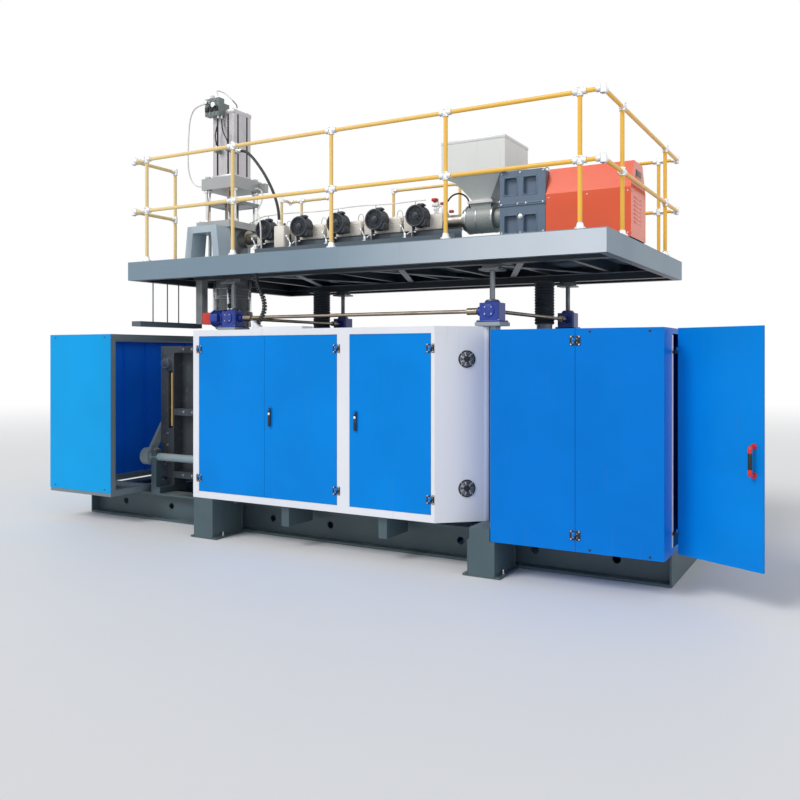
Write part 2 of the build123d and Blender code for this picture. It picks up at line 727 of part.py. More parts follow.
rail_levels = [deck_top + rail_mid, deck_top + rail_height]
with BuildPart() as railing_fittings:
    for x, y in post_spots:
        round_bar((x, y, deck_top), (0, 0, 1), post_foot_height, post_foot_radius)
        for z in rail_levels:
            tube((x, y, z - sleeve_length / 2), (0, 0, 1), sleeve_length, sleeve_radius, rail_radius + touch_gap)
    for x, y in corner_spots:
        for z in rail_levels:
            round_bar((x, y, z - sleeve_length / 2), (0, 0, 1), sleeve_length, sleeve_radius)
railing_fittings.part.label = "railing_fittings"
export_step(railing_fittings.part, "parts/railing_fittings.step")

with BuildPart() as railing_tubes:
    for x, y in post_spots:
        round_bar((x, y, deck_top + post_foot_height), (0, 0, 1), rail_height - post_foot_height + 14, rail_radius)
    for path in rail_paths:
        for start, end in zip(path[:-1], path[1:]):
            run = Vector(*end, 0) - Vector(*start, 0)
            along = run.normalized()
            for z in rail_levels:
                first = Vector(*start, z) + along * sleeve_radius
                round_bar(first, along, run.length - 2 * sleeve_radius, rail_radius)
railing_tubes.part.label = "railing_tubes"
export_step(railing_tubes.part, "parts/railing_tubes.step")

# Extruder: barrel, screw, feed housing, hopper, gearbox and the cover over its motor
boss_end = head_x + head_radius + 38
housing_left = 750.0
housing_right = 1030.0
housing_radius = 130.0
flange_radius = 92.0
with BuildPart() as barrel:
    round_bar((boss_end, axis_y, axis_z), (1, 0, 0), housing_left - boss_end, barrel_radius)
    round_bar((boss_end, axis_y, axis_z), (1, 0, 0), 34, flange_radius)
    round_bar((housing_left, axis_y, axis_z), (-1, 0, 0), 34, flange_radius + 12)
    round_bar((boss_end, axis_y, axis_z), (1, 0, 0), housing_left - boss_end, screw_bore, Mode.SUBTRACT)
barrel.part.label = "barrel"
export_step(barrel.part, "parts/barrel.step")

housing_flat = 100.0
feed_slot = 60.0
throat_foot = axis_z + housing_radius
with BuildPart() as feed_housing:
    round_bar((housing_left, axis_y, axis_z), (1, 0, 0), housing_right - housing_left, housing_radius)
    block(hopper_x - housing_flat, hopper_x + housing_flat, axis_y - housing_flat, axis_y + housing_flat,
          axis_z, throat_foot)
    round_bar((housing_right, axis_y, axis_z), (1, 0, 0), gearbox_left - housing_right, flange_radius)
    round_bar((housing_left, axis_y, axis_z), (1, 0, 0), gearbox_left - housing_left, screw_bore, Mode.SUBTRACT)
    block(hopper_x - feed_slot, hopper_x + feed_slot, axis_y - feed_slot / 2, axis_y + feed_slot / 2, axis_z,
          throat_foot, Mode.SUBTRACT)
feed_housing.part.label = "feed_housing"
export_step(feed_housing.part, "parts/feed_housing.step")

shank_depth = 120.0
with BuildPart() as extruder_screw:
    round_bar((boss_end + 2, axis_y, axis_z), (1, 0, 0), gearbox_left + shank_depth - 4 - boss_end, screw_bore - 0.1)
extruder_screw.part.label = "extruder_screw"
export_step(extruder_screw.part, "parts/extruder_screw.step")

hopper_deep = 560.0
mouth_wide = 480.0
mouth_deep = 440.0
with BuildPart() as hopper:
    block(hopper_x - hopper_side / 2, hopper_x + hopper_side / 2, axis_y - hopper_deep / 2,
          axis_y + hopper_deep / 2, hopper_box, hopper_top)
    with BuildSketch(Plane.XY.offset(hopper_box)):
        with Locations((hopper_x, axis_y)):
            Rectangle(mouth_wide, mouth_deep)
    with BuildSketch(Plane.XY.offset(throat_top)):
        with Locations((hopper_x, axis_y)):
            Rectangle(throat_side, throat_side)
    loft()
    block(hopper_x - throat_side / 2, hopper_x + throat_side / 2, axis_y - throat_side / 2,
          axis_y + throat_side / 2, throat_foot, throat_top)
    block(hopper_x - hopper_side / 2 + sheet, hopper_x + hopper_side / 2 - sheet,
          axis_y - hopper_deep / 2 + sheet, axis_y + hopper_deep / 2 - sheet, hopper_box + sheet, hopper_top,
          Mode.SUBTRACT)
    block(hopper_x - mouth_wide / 2 + sheet, hopper_x + mouth_wide / 2 - sheet, axis_y - mouth_deep / 2 + sheet,
          axis_y + mouth_deep / 2 - sheet, hopper_box, hopper_box + sheet, Mode.SUBTRACT)
    with BuildSketch(Plane.XY.offset(hopper_box)):
        with Locations((hopper_x, axis_y)):
            Rectangle(mouth_wide - 2 * sheet, mouth_deep - 2 * sheet)
    with BuildSketch(Plane.XY.offset(throat_top)):
        with Locations((hopper_x, axis_y)):
            Rectangle(throat_side - 2 * sheet, throat_side - 2 * sheet)
    loft(mode=Mode.SUBTRACT)
    block(hopper_x - throat_side / 2 + sheet, hopper_x + throat_side / 2 - sheet, axis_y - throat_side / 2 + sheet,
          axis_y + throat_side / 2 - sheet, throat_foot, throat_top, Mode.SUBTRACT)
hopper.part.label = "hopper"
export_step(hopper.part, "parts/hopper.step")

pocket_depth = 40.0
gearbox_front = axis_y - gearbox_half_y
pocket_width = 118.0
pocket_height = 150.0
pocket_spots = [
    (x, z)
    for x in (gearbox_left + 103, gearbox_right - 140)
    for z in (gearbox_bottom + 94, gearbox_top - 135)
]
with BuildPart() as gearbox:
    with BuildSketch(Plane.XZ.offset(-gearbox_front)):
        with Locations(((gearbox_left + gearbox_right) / 2, (gearbox_bottom + gearbox_top) / 2)):
            RectangleRounded(gearbox_right - gearbox_left, gearbox_top - gearbox_bottom, 30)
    extrude(amount=-2 * gearbox_half_y)
    with BuildSketch(Plane.XZ.offset(-gearbox_front)):
        with Locations(*pocket_spots):
            RectangleRounded(pocket_width, pocket_height, 20)
    extrude(amount=-pocket_depth, mode=Mode.SUBTRACT)
    round_bar((gearbox_left, axis_y, axis_z), (1, 0, 0), shank_depth + 20, screw_bore, Mode.SUBTRACT)
    for side in (-1, 1):
        mid_y = axis_y + side * (gearbox_half_y - 60)
        block(gearbox_left + 20, gearbox_right - 20, mid_y - 40, mid_y + 40, deck_top, gearbox_bottom)

cover_slope = 110.0
cover_thick = 3.0
cover_section = [
    (-gearbox_half_y, motor_bottom), (-gearbox_half_y, motor_shoulder), (-gearbox_half_y + cover_slope, motor_top),
    (gearbox_half_y - cover_slope, motor_top), (gearbox_half_y, motor_shoulder), (gearbox_half_y, motor_bottom),
]
with BuildPart() as motor_cover:
    with BuildSketch(Plane.YZ.offset(gearbox_right + gap)):
        with Locations((axis_y, 0)):
            Polygon(*cover_section, align=None)
    extrude(amount=motor_right - gearbox_right - gap)
    open_faces = [motor_cover.faces().sort_by(Axis.Z)[0], motor_cover.faces().sort_by(Axis.X)[0]]
    offset(amount=-cover_thick, openings=open_faces)
motor_cover.part.label = "motor_cover"
export_step(motor_cover.part, "parts/motor_cover.step")

# The motor is flanged to the gearbox and stands on its own feet under the cover
motor_drum = 170.0
motor_z = 2930.0
motor_length = 620.0
with BuildPart() as extruder_drive:
    add(gearbox.part)
    round_bar((gearbox_right, axis_y, motor_z), (1, 0, 0), motor_length, motor_drum)
    for side in (-1, 1):
        mid_y = axis_y + side * 120
        block(gearbox_right + 60, motor_right - 120, mid_y - 35, mid_y + 35, deck_top, motor_z - motor_drum + 60)
extruder_drive.part.label = "extruder_drive"
export_step(extruder_drive.part, "parts/extruder_drive.step")

# Heater covers round the barrel, a blower on the front of each, saddles between them and a cable trough
blower_x = [blower_first + i * blower_pitch for i in range(blower_count)]
zone_gap = 32.0
zone_length = blower_pitch - zone_gap
zone_bore = barrel_radius + touch_gap
trough_front = -420.0
trough_back = -260.0
trough_top = 2800.0
junction_front = -335.0
junction_back = -255.0
with BuildPart() as barrel_covers:
    for x in blower_x:
        tube((x - zone_length / 2, axis_y, axis_z), (1, 0, 0), zone_length, cover_radius, zone_bore)
    block(junction_left, junction_right, junction_front, junction_back, trough_top, junction_top)
barrel_covers.part.label = "barrel_covers"
export_step(barrel_covers.part, "parts/barrel_covers.step")

blower_z = 3005.0
blower_length = 120.0
blower_back = axis_y - cover_radius - touch_gap
duct_half = 45.0
with BuildPart() as blowers:
    for x in blower_x:
        round_bar((x, blower_back - 40, blower_z), (0, -1, 0), blower_length, blower_radius)
        block(x - duct_half, x + duct_half, blower_back - 40, blower_back, axis_z - duct_half / 2,
              axis_z + duct_half / 2)
    for x in blower_x:
        round_bar((x, blower_back - 40 - blower_length, blower_z), (0, 1, 0), 22, blower_radius - 12, Mode.SUBTRACT)
blowers.part.label = "blowers"
export_step(blowers.part, "parts/blowers.step")

saddle_x = [blower_first + (i + 0.5) * blower_pitch for i in range(0, blower_count, 2)]
with BuildPart() as deck_stands:
    for x in (gearbox_right + 40, motor_right - 90):
        for side in (-1, 1):
            mid_y = axis_y + side * (gearbox_half_y - cover_thick - 25)
            block(x, x + 50, mid_y - 25, mid_y + 25, deck_top, motor_bottom + 60)
    for x in saddle_x:
        block(x - 11, x + 11, axis_y - 90, axis_y + 90, deck_top, axis_z)
        block(x - 60, x + 60, axis_y - 110, axis_y + 110, deck_top, deck_top + 14)
    for x in saddle_x:
        round_bar((x - 12, axis_y, axis_z), (1, 0, 0), 24, zone_bore, Mode.SUBTRACT)
    block(blower_x[0] - 60, housing_left, trough_front, trough_back, deck_top, trough_top)
    block(blower_x[0] - 60 + sheet, housing_left - sheet, trough_front + sheet, trough_back - sheet,
          deck_top + sheet, trough_top, Mode.SUBTRACT)

# Die head: the body hangs through the platform under the shoulder plate and takes the melt from the side
flange_low = 2140.0
flange_high = 2175.0
rod_circle = 200.0
rod_radius = 13.0
push_offset = 90.0
push_radius = 15.0
push_low = 2660.0
push_travel = 120.0
rod_spots = [(head_x + rod_circle * cos(radians(29.4 + 90 * i)), axis_y + rod_circle * sin(radians(29.4 + 90 * i)))
             for i in range(4)]
die_radius = 95.0
band_levels = [(1998, 2136), (2179, 2330), (2336, 2436)]
with BuildPart() as head_body:
    for low, high in band_levels:
        round_bar((head_x, axis_y, low), (0, 0, 1), high - low, head_radius + 6)
    round_bar((head_x, axis_y, head_bottom), (0, 0, 1), stand_top - head_bottom, head_radius)
    round_bar((head_x, axis_y, flange_low), (0, 0, 1), flange_high - flange_low, rod_circle + 24)
    round_bar((head_x, axis_y, head_bottom - 60), (0, 0, 1), 60, die_radius)
    round_bar((head_x, axis_y, axis_z), (1, 0, 0), boss_end - head_x, flange_radius)
    round_bar((head_x, axis_y, axis_z), (1, 0, 0), boss_end - head_x, screw_bore, Mode.SUBTRACT)
    round_bar((head_x, axis_y, head_bottom - 60), (0, 0, 1), 200, 50, Mode.SUBTRACT)
    round_bar((head_x, axis_y, head_bottom - 60), (0, 0, 1), 202, 42)
    for side in (-1, 1):
        spot = (head_x, axis_y + side * push_offset, push_low - push_travel - 20)
        round_bar(spot, (0, 0, 1), stand_top - spot[2], push_radius + 0.1, Mode.SUBTRACT)
head_body.part.label = "head_body"
export_step(head_body.part, "parts/head_body.step")

# Stands and cage that carry the accumulator cylinder above the head
with BuildPart() as head_stands:
    for side in (-1, 1):
        face_y = axis_y + side * stand_half_y
        with BuildSketch(Plane.XZ.offset(-face_y)):
            with Locations((head_x, deck_top)):
                Polygon((-stand_foot / 2, 0), (stand_foot / 2, 0), (stand_head / 2, stand_top - deck_top),
                        (-stand_head / 2, stand_top - deck_top), align=None)
        extrude(amount=side * stand_depth)
    for side in (-1, 1):
        face_y = axis_y + side * stand_half_y
        with BuildSketch(Plane.XZ.offset(-face_y)):
            with Locations((head_x, deck_top)):
                Polygon((-165, 0), (165, 0), (125, 370), (-125, 370), align=None)
        extrude(amount=side * stand_depth, mode=Mode.SUBTRACT)
head_stands.part.label = "head_stands"
export_step(head_stands.part, "parts/head_stands.step")

pillar_half = 180.0
pillar_radius = 28.0
pillar_spots = [(head_x + sx * pillar_half, axis_y + sy * pillar_half) for sx in (-1, 1) for sy in (-1, 1)]
with BuildPart() as tower_pillars:
    for x, y in rod_spots:
        round_bar((x, y, flange_high), (0, 0, 1), frame_top - flange_high, rod_radius)
    for x, y in pillar_spots:
        round_bar((x, y, tower_shoulder), (0, 0, 1), plate_low - tower_shoulder, pillar_radius)
tower_pillars.part.label = "tower_pillars"
export_step(tower_pillars.part, "parts/tower_pillars.step")

piston_rod = 30.0
shoulder_half_y = stand_half_y - stand_depth + 45
with BuildPart() as tower_plates:
    block(head_x - plate_side / 2, head_x + plate_side / 2, axis_y - shoulder_half_y, axis_y + shoulder_half_y,
          stand_top, tower_shoulder)
    for side in (-1, 1):
        round_bar((head_x, axis_y + side * push_offset, stand_top), (0, 0, 1), tower_shoulder - stand_top,
                  push_radius + 0.1, Mode.SUBTRACT)
    block(head_x - plate_side / 2, head_x + plate_side / 2, axis_y - plate_side / 2, axis_y + plate_side / 2,
          plate_low, plate_high)
    round_bar((head_x, axis_y, plate_low), (0, 0, 1), plate_high - plate_low, piston_rod + 0.1, Mode.SUBTRACT)
    block(head_x + plate_side / 2, head_x + plate_side / 2 + 90, axis_y + 170, axis_y + plate_side / 2, plate_low,
          plate_high - 25)
tower_plates.part.label = "tower_plates"
export_step(tower_plates.part, "parts/tower_plates.step")

bore_radius = 100.0
groove_width = 24.0
groove_depth = 14.0
groove_spread = 74.0
half_side = cylinder_side / 2
with BuildPart() as head_cylinder:
    with BuildSketch(Plane.XY.offset(plate_high)):
        with Locations((head_x, axis_y)):
            RectangleRounded(cylinder_side, cylinder_side, 18)
            for sign in (-groove_spread, groove_spread):
                with Locations((sign, half_side), (sign, -half_side)):
                    Rectangle(groove_width, 2 * groove_depth, mode=Mode.SUBTRACT)
                with Locations((half_side, sign), (-half_side, sign)):
                    Rectangle(2 * groove_depth, groove_width, mode=Mode.SUBTRACT)
    extrude(amount=cylinder_top - plate_high)
    round_bar((head_x, axis_y, plate_high + 50), (0, 0, 1), cylinder_top - plate_high - 100, bore_radius, Mode.SUBTRACT)
    round_bar((head_x, axis_y, plate_high), (0, 0, 1), 60, piston_rod + 0.1, Mode.SUBTRACT)
head_cylinder.part.label = "head_cylinder"
export_step(head_cylinder.part, "parts/head_cylinder.step")

cross_low = 3330.0
cross_high = 3370.0
piston_low = 4040.0
with BuildPart() as crosshead:
    block(head_x - 215, head_x + 215, axis_y - 215, axis_y + 215, cross_low, cross_high)
    for x, y in pillar_spots:
        round_bar((x, y, cross_low), (0, 0, 1), cross_high - cross_low, pillar_radius + 0.1, Mode.SUBTRACT)
    for side in (-1, 1):
        round_bar((head_x, axis_y + side * push_offset, push_low), (0, 0, 1), cross_low - push_low, push_radius)
    round_bar((head_x, axis_y, cross_high), (0, 0, 1), piston_low - cross_high, piston_rod)
    round_bar((head_x, axis_y, piston_low), (0, 0, 1), 60, bore_radius - 0.1)
crosshead.part.label = "crosshead"
export_step(crosshead.part, "parts/crosshead.step")

# Valve block on the front and top of the cylinder, with a solenoid, elbows for two hoses and a bent pipe
valve_back = axis_y - cylinder_side / 2
valve_front = valve_back - valve_depth
elbow_low = 3890.0
elbow_high = 3930.0
elbow_x = [-2150.0, -1995.0]
elbow_reach = 75.0
pipe_route = [
    (-1995, -150, cylinder_top), (-1995, -150, 4415), (-2075, -158, 4505), (-2165, -170, 4578), (-2215, -206, 4596),
    (-2190, -262, 4568), (-2150, -290, 4530), (-2150, -290, valve_top),
]
with BuildPart() as valve_block:
    block(valve_left, valve_right, valve_front, valve_back, valve_low, valve_top)
    block(head_x - half_side + 20, head_x - 20, valve_back, axis_y - 20, cylinder_top, valve_top - 30)
    round_bar((valve_left + 60, valve_front, valve_top - 55), (0, -1, 0), 60, 26)
    round_bar((valve_left + 60, valve_back - 30, valve_top), (0, 0, 1), 45, 24)
    for x in elbow_x:
        block(x - 15, x + 15, valve_back - elbow_reach, valve_back, elbow_low, elbow_high)
    add(hose(pipe_route, hose_black, 1.5))
valve_block.part.label = "valve_block"
export_step(valve_block.part, "parts/valve_block.step")

# Hoses of the platform and the cable chain that joins it to the cabinet, each by the points of its route
hose_routes = {
    "tower_hose_left": (hose_white, [
        (valve_left, -300, 4440), (-2450, -300, 4440), (-2535, -302, 4320), (-2552, -305, 4120),
        (-2562, -306, 3910), (-2556, -304, 3730), (-2508, -296, 3600), (-2425, -290, 3545),
        (head_x - plate_side / 2, -290, 3545),
    ]),
    "tower_hose_right": (hose_white, [
        (head_x + plate_side / 2, 20, 3525), (-1805, 20, 3525), (-1752, -10, 3430), (-1720, -80, 3340),
        (-1680, -180, 3262), (-1600, -290, 3205), (-1515, -372, 3135), (-1470, -398, 3030), (-1467, -401, 2900),
        (-1462, -394, 2760), (-1462, -394, 2628),
    ]),
    "tower_hose_thick": (hose_thick, [
        (head_x + half_side, -200, 3905), (-1852, -200, 3905), (-1738, -214, 3822), (-1620, -235, 3700),
        (-1520, -248, 3575), (-1432, -258, 3435), (-1360, -272, 3290), (-1318, -287, 3150),
        (-1318, -287, junction_top),
    ]),
    "valve_hose_left": (hose_black, [
        (-2130, -300, valve_low), (-2130, -300, 4215), (-2156, -304, 4135), (-2170, -306, 4060),
        (elbow_x[0], -305, 3990), (elbow_x[0], -305, elbow_high),
    ]),
    "valve_hose_right": (hose_black, [
        (-2104, -275, valve_low), (-2104, -275, 4215), (-2082, -288, 4130), (-2035, -297, 4055),
        (elbow_x[1], -300, 3990), (elbow_x[1], -300, elbow_high),
    ]),
    "cable_chain": (chain_width, [
        (-812, -1285, deck_bottom), (-812, -1285, 2380), (-782, -1283, 2305), (-736, -1280, 2232),
        (-717, -1278, 2155), (-727, -1276, 2088), (-764, -1274, 2036), (chain_end_x, chain_y, 1988),
    ]),
}
for name, (diameter, points) in hose_routes.items():
    free_hose = hose(points, diameter)
    free_hose.label = name
    export_step(free_hose, f"parts/{name}.step")

# Hose tray on rods under the left end of the platform, in one node with the stands on its deck
hang_inset = 78.0
hang_half = 60.0
hang_bottom = 1990.0
hang_wall = 50.0
hang_back = -420.0
hang_x = -deck_half_x + hang_inset
hang_front = -deck_half_y + 32
hang_rods = [-1016.0, -816.0, -654.0]
with BuildPart() as platform_stands:
    add(deck_stands.part)
    block(hang_x - hang_half, hang_x + hang_half, hang_front, hang_back, hang_bottom, hang_bottom + hang_wall)
    block(hang_x - hang_half + sheet, hang_x + hang_half - sheet, hang_front + sheet, hang_back - sheet,
          hang_bottom + sheet, hang_bottom + hang_wall, Mode.SUBTRACT)
    for y in hang_rods:
        round_bar((hang_x - hang_half + 8, y, hang_bottom), (0, 0, 1), deck_bottom - hang_bottom, 6)
platform_stands.part.label = "platform_stands"
export_step(platform_stands.part, "parts/platform_stands.step")

# Clamp: two platens on rails close along Y; the front one takes the tie bars, the rear one the piston rod
rail_spread = 300.0
rail_half = 30.0
rail_top = base_height + 60
bearing_x = [head_x - 360, head_x + 360]
with BuildPart() as clamp_bed:
    for side in (-1, 1):
        x = head_x + side * rail_spread
        block(x - rail_half, x + rail_half, -beam_face, beam_face, base_height, rail_top)
    for x in bearing_x:
        block(x - 35, x + 35, sync_y - 40, sync_y + 40, base_height, sync_z + 75)
        block(x - 35, x + 35, sync_y - 40, sync_y + 120, base_height, base_height + 120)
        round_bar((x - 35, sync_y, sync_z), (1, 0, 0), 70, sync_radius + 0.1, Mode.SUBTRACT)
clamp_bed.part.label = "clamp_bed"
export_step(clamp_bed.part, "parts/clamp_bed.step")

platen_half = platen_width / 2
platen_mid_z = (platen_bottom + platen_top) / 2
inner_face = {"front": axis_y - daylight_half, "rear": axis_y + daylight_half}
tie_x = platen_half - rib_width / 2
tie_z = (platen_bottom + tie_inset, platen_top - tie_inset)
tie_spots = [(head_x + side * tie_x, z) for side in (-1, 1) for z in tie_z]
slot_low = 940.0
slot_high = 1540.0
slot_x = head_x - platen_half + rib_width - 52
slot_half = 28.0
pin_y = sync_y + lever_length * sin(radians(lever_lean))
pin_z = sync_z + lever_length * cos(radians(lever_lean))
pin_radius = 20.0
pin_space = 7.0
for name, out in (("front", -1), ("rear", 1)):
    face = inner_face[name]
    back = face + out * platen_thick
    outer = back + out * rib_depth
    with BuildPart() as platen:
        block(head_x - platen_half, head_x + platen_half, min(face, back), max(face, back), platen_bottom, platen_top)
        for side in (-1, 1):
            rib_outer = head_x + side * platen_half
            rib_inner = rib_outer - side * rib_width
            block(min(rib_outer, rib_inner), max(rib_outer, rib_inner), min(back, outer), max(back, outer),
                  platen_bottom, platen_top)
            rail_x_mid = head_x + side * rail_spread
            block(rail_x_mid - rail_half - 20, rail_x_mid + rail_half + 20, min(face, outer), max(face, outer),
                  rail_top + 0.1, platen_bottom)
        for low in (platen_bottom, platen_mid_z - 35, platen_top - 70):
            block(head_x - platen_half, head_x + platen_half, min(back, outer), max(back, outer), low, low + 70)
        for x, z in tie_spots:
            hole = tie_radius if name == "front" else tie_radius + 0.1
            round_bar((x, min(face, outer), z), (0, 1, 0), platen_thick + rib_depth, hole, Mode.SUBTRACT)
        if name == "front":
            block(slot_x - slot_half, slot_x + slot_half, outer, outer + 56, slot_low, slot_high, Mode.SUBTRACT)
            for side in (-1, 1):
                rib_outer = head_x + side * platen_half
                groove = rib_outer - side * 44
                block(min(rib_outer, groove), max(rib_outer, groove), pin_y - pin_radius - pin_space,
                      pin_y + pin_radius + pin_space, pin_z - 130, pin_z + 36, Mode.SUBTRACT)
    platen.part.label = f"{name}_platen"
    export_step(platen.part, f"parts/{name}_platen.step")

front_outer = inner_face["front"] - platen_thick - rib_depth
rear_outer = inner_face["rear"] + platen_thick + rib_depth
nut_radius = 56.0
nut_length = 40.0
with BuildPart() as tie_bars:
    for x, z in tie_spots:
        round_bar((x, front_outer - nut_length, z), (0, 1, 0), rear_outer + 240 - front_outer + nut_length, tie_radius)
        round_bar((x, front_outer - nut_length, z), (0, 1, 0), nut_length, nut_radius)
tie_bars.part.label = "tie_bars"
export_step(tie_bars.part, "parts/tie_bars.step")

with BuildPart() as slot_bar:
    round_bar((slot_x, front_outer + 56 - 22, slot_low + 20), (0, 0, 1), slot_high - slot_low - 40, 22)
slot_bar.part.label = "slot_bar"
export_step(slot_bar.part, "parts/slot_bar.step")

clamp_body_start = 650.0
clamp_body_end = 1030.0
clamp_body_radius = 80.0
clamp_rod = 30.0
post_half = 95.0
with BuildPart() as clamp_cylinder:
    round_bar((head_x, clamp_body_start, platen_mid_z), (0, 1, 0), clamp_body_end - clamp_body_start,
              clamp_body_radius)
    block(head_x - post_half, head_x + post_half, beam_face - beam_width, beam_face, base_height, platen_mid_z + 110)
    round_bar((head_x, clamp_body_start, platen_mid_z), (0, 1, 0), clamp_body_end - clamp_body_start - 20,
              clamp_rod + 0.1, Mode.SUBTRACT)
clamp_cylinder.part.label = "clamp_cylinder"
export_step(clamp_cylinder.part, "parts/clamp_cylinder.step")

with BuildPart() as clamp_rods:
    round_bar((head_x, rear_outer, platen_mid_z), (0, 1, 0), clamp_body_end - 40 - rear_outer, clamp_rod)
clamp_rods.part.label = "clamp_rod"
export_step(clamp_rods.part, "parts/clamp_rod.step")

# Synchronising shaft: bearings on the front beam, a lever at each end whose pin sits in a platen groove
lever_gap = 6.0
lever_thick = 38.0
lever_start = platen_half + lever_gap
lever_end = lever_start + lever_thick
hub_radius = 88.0
with BuildPart() as sync_lever:
    round_bar((head_x - lever_end - 40, sync_y, sync_z), (1, 0, 0), 2 * lever_end + 80, sync_radius)
    for side in (-1, 1):
        hub_start = head_x + side * (lever_end + 30)
        round_bar((hub_start, sync_y, sync_z), (-side, 0, 0), lever_thick + 60, hub_radius)
        low_x = min(head_x + side * lever_start, head_x + side * lever_end)
        with BuildSketch(Plane.YZ.offset(low_x)):
            with Locations(((sync_y + pin_y) / 2, (sync_z + pin_z) / 2)):
                SlotCenterToCenter(lever_length, 84, rotation=90 - lever_lean)
        extrude(amount=lever_thick)
        pin_tip = head_x + side * (platen_half - 38)
        round_bar((pin_tip, pin_y, pin_z), (side, 0, 0), 38 + lever_gap, pin_radius)
sync_lever.part.label = "sync_lever"
export_step(sync_lever.part, "parts/sync_lever.step")

# Equipment inside the cabinets
board_low = 480.0
board_high = 1840.0
board_front = cab_back - sheet - 6
with BuildPart() as switchgear:
    block(cab_left + 60, cab_right - 60, board_front, cab_back - sheet, board_low, board_high)
    for row in range(4):
        z = board_low + 120 + row * 320
        for column in range(9):
            x = cab_left + 160 + column * 260
            block(x, x + 180, board_front - 110, board_front, z, z + 150)
switchgear.part.label = "switchgear"
export_step(switchgear.part, "parts/switchgear.step")

tank_left = enc_left + 80
tank_right = enc_seam - 40
tank_top = 980.0
tank_half_y = 700.0
pump_z = tank_top + 190
with BuildPart() as power_unit:
    block(tank_left, tank_right, -tank_half_y, tank_half_y, enc_bottom + sheet, tank_top)
    for y in (-320, 320):
        round_bar((tank_left + 60, y, pump_z), (1, 0, 0), 330, 120)
        round_bar((tank_left + 390, y, pump_z), (1, 0, 0), 110, 70)
        block(tank_left + 100, tank_left + 340, y - 90, y + 90, tank_top, pump_z - 60)
power_unit.part.label = "power_unit"
export_step(power_unit.part, "parts/power_unit.step")
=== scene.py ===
"""Looks of a blow moulding machine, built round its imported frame: finishes, fittings, hoses, light and camera."""
import logging
import math
from collections.abc import Callable
from dataclasses import dataclass
from enum import Enum

import bpy
from mathutils import Matrix, Vector


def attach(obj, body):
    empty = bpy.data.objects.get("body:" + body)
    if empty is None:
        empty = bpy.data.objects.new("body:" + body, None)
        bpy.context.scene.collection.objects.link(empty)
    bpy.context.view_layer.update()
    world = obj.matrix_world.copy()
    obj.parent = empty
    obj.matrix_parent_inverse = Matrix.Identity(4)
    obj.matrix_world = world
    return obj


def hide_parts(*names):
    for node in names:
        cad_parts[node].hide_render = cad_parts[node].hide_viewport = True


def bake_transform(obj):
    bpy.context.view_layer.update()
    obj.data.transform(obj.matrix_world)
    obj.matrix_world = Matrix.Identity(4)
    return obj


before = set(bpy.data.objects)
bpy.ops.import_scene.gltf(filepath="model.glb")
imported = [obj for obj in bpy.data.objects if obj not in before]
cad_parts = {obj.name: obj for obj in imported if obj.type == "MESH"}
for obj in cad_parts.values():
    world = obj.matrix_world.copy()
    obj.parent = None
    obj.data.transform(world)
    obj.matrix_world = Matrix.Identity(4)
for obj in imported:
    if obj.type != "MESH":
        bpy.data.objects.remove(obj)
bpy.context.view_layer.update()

LOG = logging.getLogger("blow_moulding_machine")
Point = tuple[float, float, float]
Thing = bpy.types.Object


class Axis(Enum):
    """The three directions of the machine frame."""

    X = (1.0, 0.0, 0.0)
    Y = (0.0, 1.0, 0.0)
    Z = (0.0, 0.0, 1.0)


class Rig(Enum):
    """The bodies that pieces ride on."""

    BASE = "base"
    PLATFORM = "platform"
    LEFT_DOOR = "left_door"
    MIDDLE_DOOR = "middle_door"
    RIGHT_DOOR = "right_door"
    MIDDLE_LEVER = "middle_lever"
    RIGHT_LEVER = "right_lever"
    SEAM_DOOR = "seam_door"
    END_DOOR = "end_door"
    FRONT_CLAMP = "front_clamp"
    REAR_CLAMP = "rear_clamp"
    SYNC = "sync"


# ---- shader maths ----


def maths(operation: str, flipped: bool = False) -> Callable:
    """Make an operator that adds one Math node.

    Args:
        operation: the node's operation.
        flipped: whether the wrapped output comes second.

    Returns:
        The operator, as a method of Sock.
    """

    def operate(self: "Sock", other: "Sock | float") -> "Sock":
        """Add the node."""
        pair = (other, self) if flipped else (self, other)
        return self.graph.node("ShaderNodeMath", {"operation": operation}, dict(enumerate(pair)))

    return operate


class Sock:
    """One output of a shader node, on which Python's operators add Math nodes."""

    def __init__(self, graph: "Graph", socket: bpy.types.NodeSocket) -> None:
        """Keep the graph that the output belongs to."""
        self.graph = graph
        self.socket = socket

    __add__ = __radd__ = maths("ADD")
    __mul__ = __rmul__ = maths("MULTIPLY")
    __sub__ = maths("SUBTRACT")
    __rsub__ = maths("SUBTRACT", flipped=True)
    __gt__ = maths("GREATER_THAN")
    __lt__ = maths("LESS_THAN")
    __mod__ = maths("FLOORED_MODULO")

    def step(self, low: float, high: float) -> "Sock":
        """Rise smoothly from 0 at low to 1 at high."""
        return self.graph.node("ShaderNodeMapRange", {"interpolation_type": "SMOOTHSTEP"}, {0: self, 1: low, 2: high})


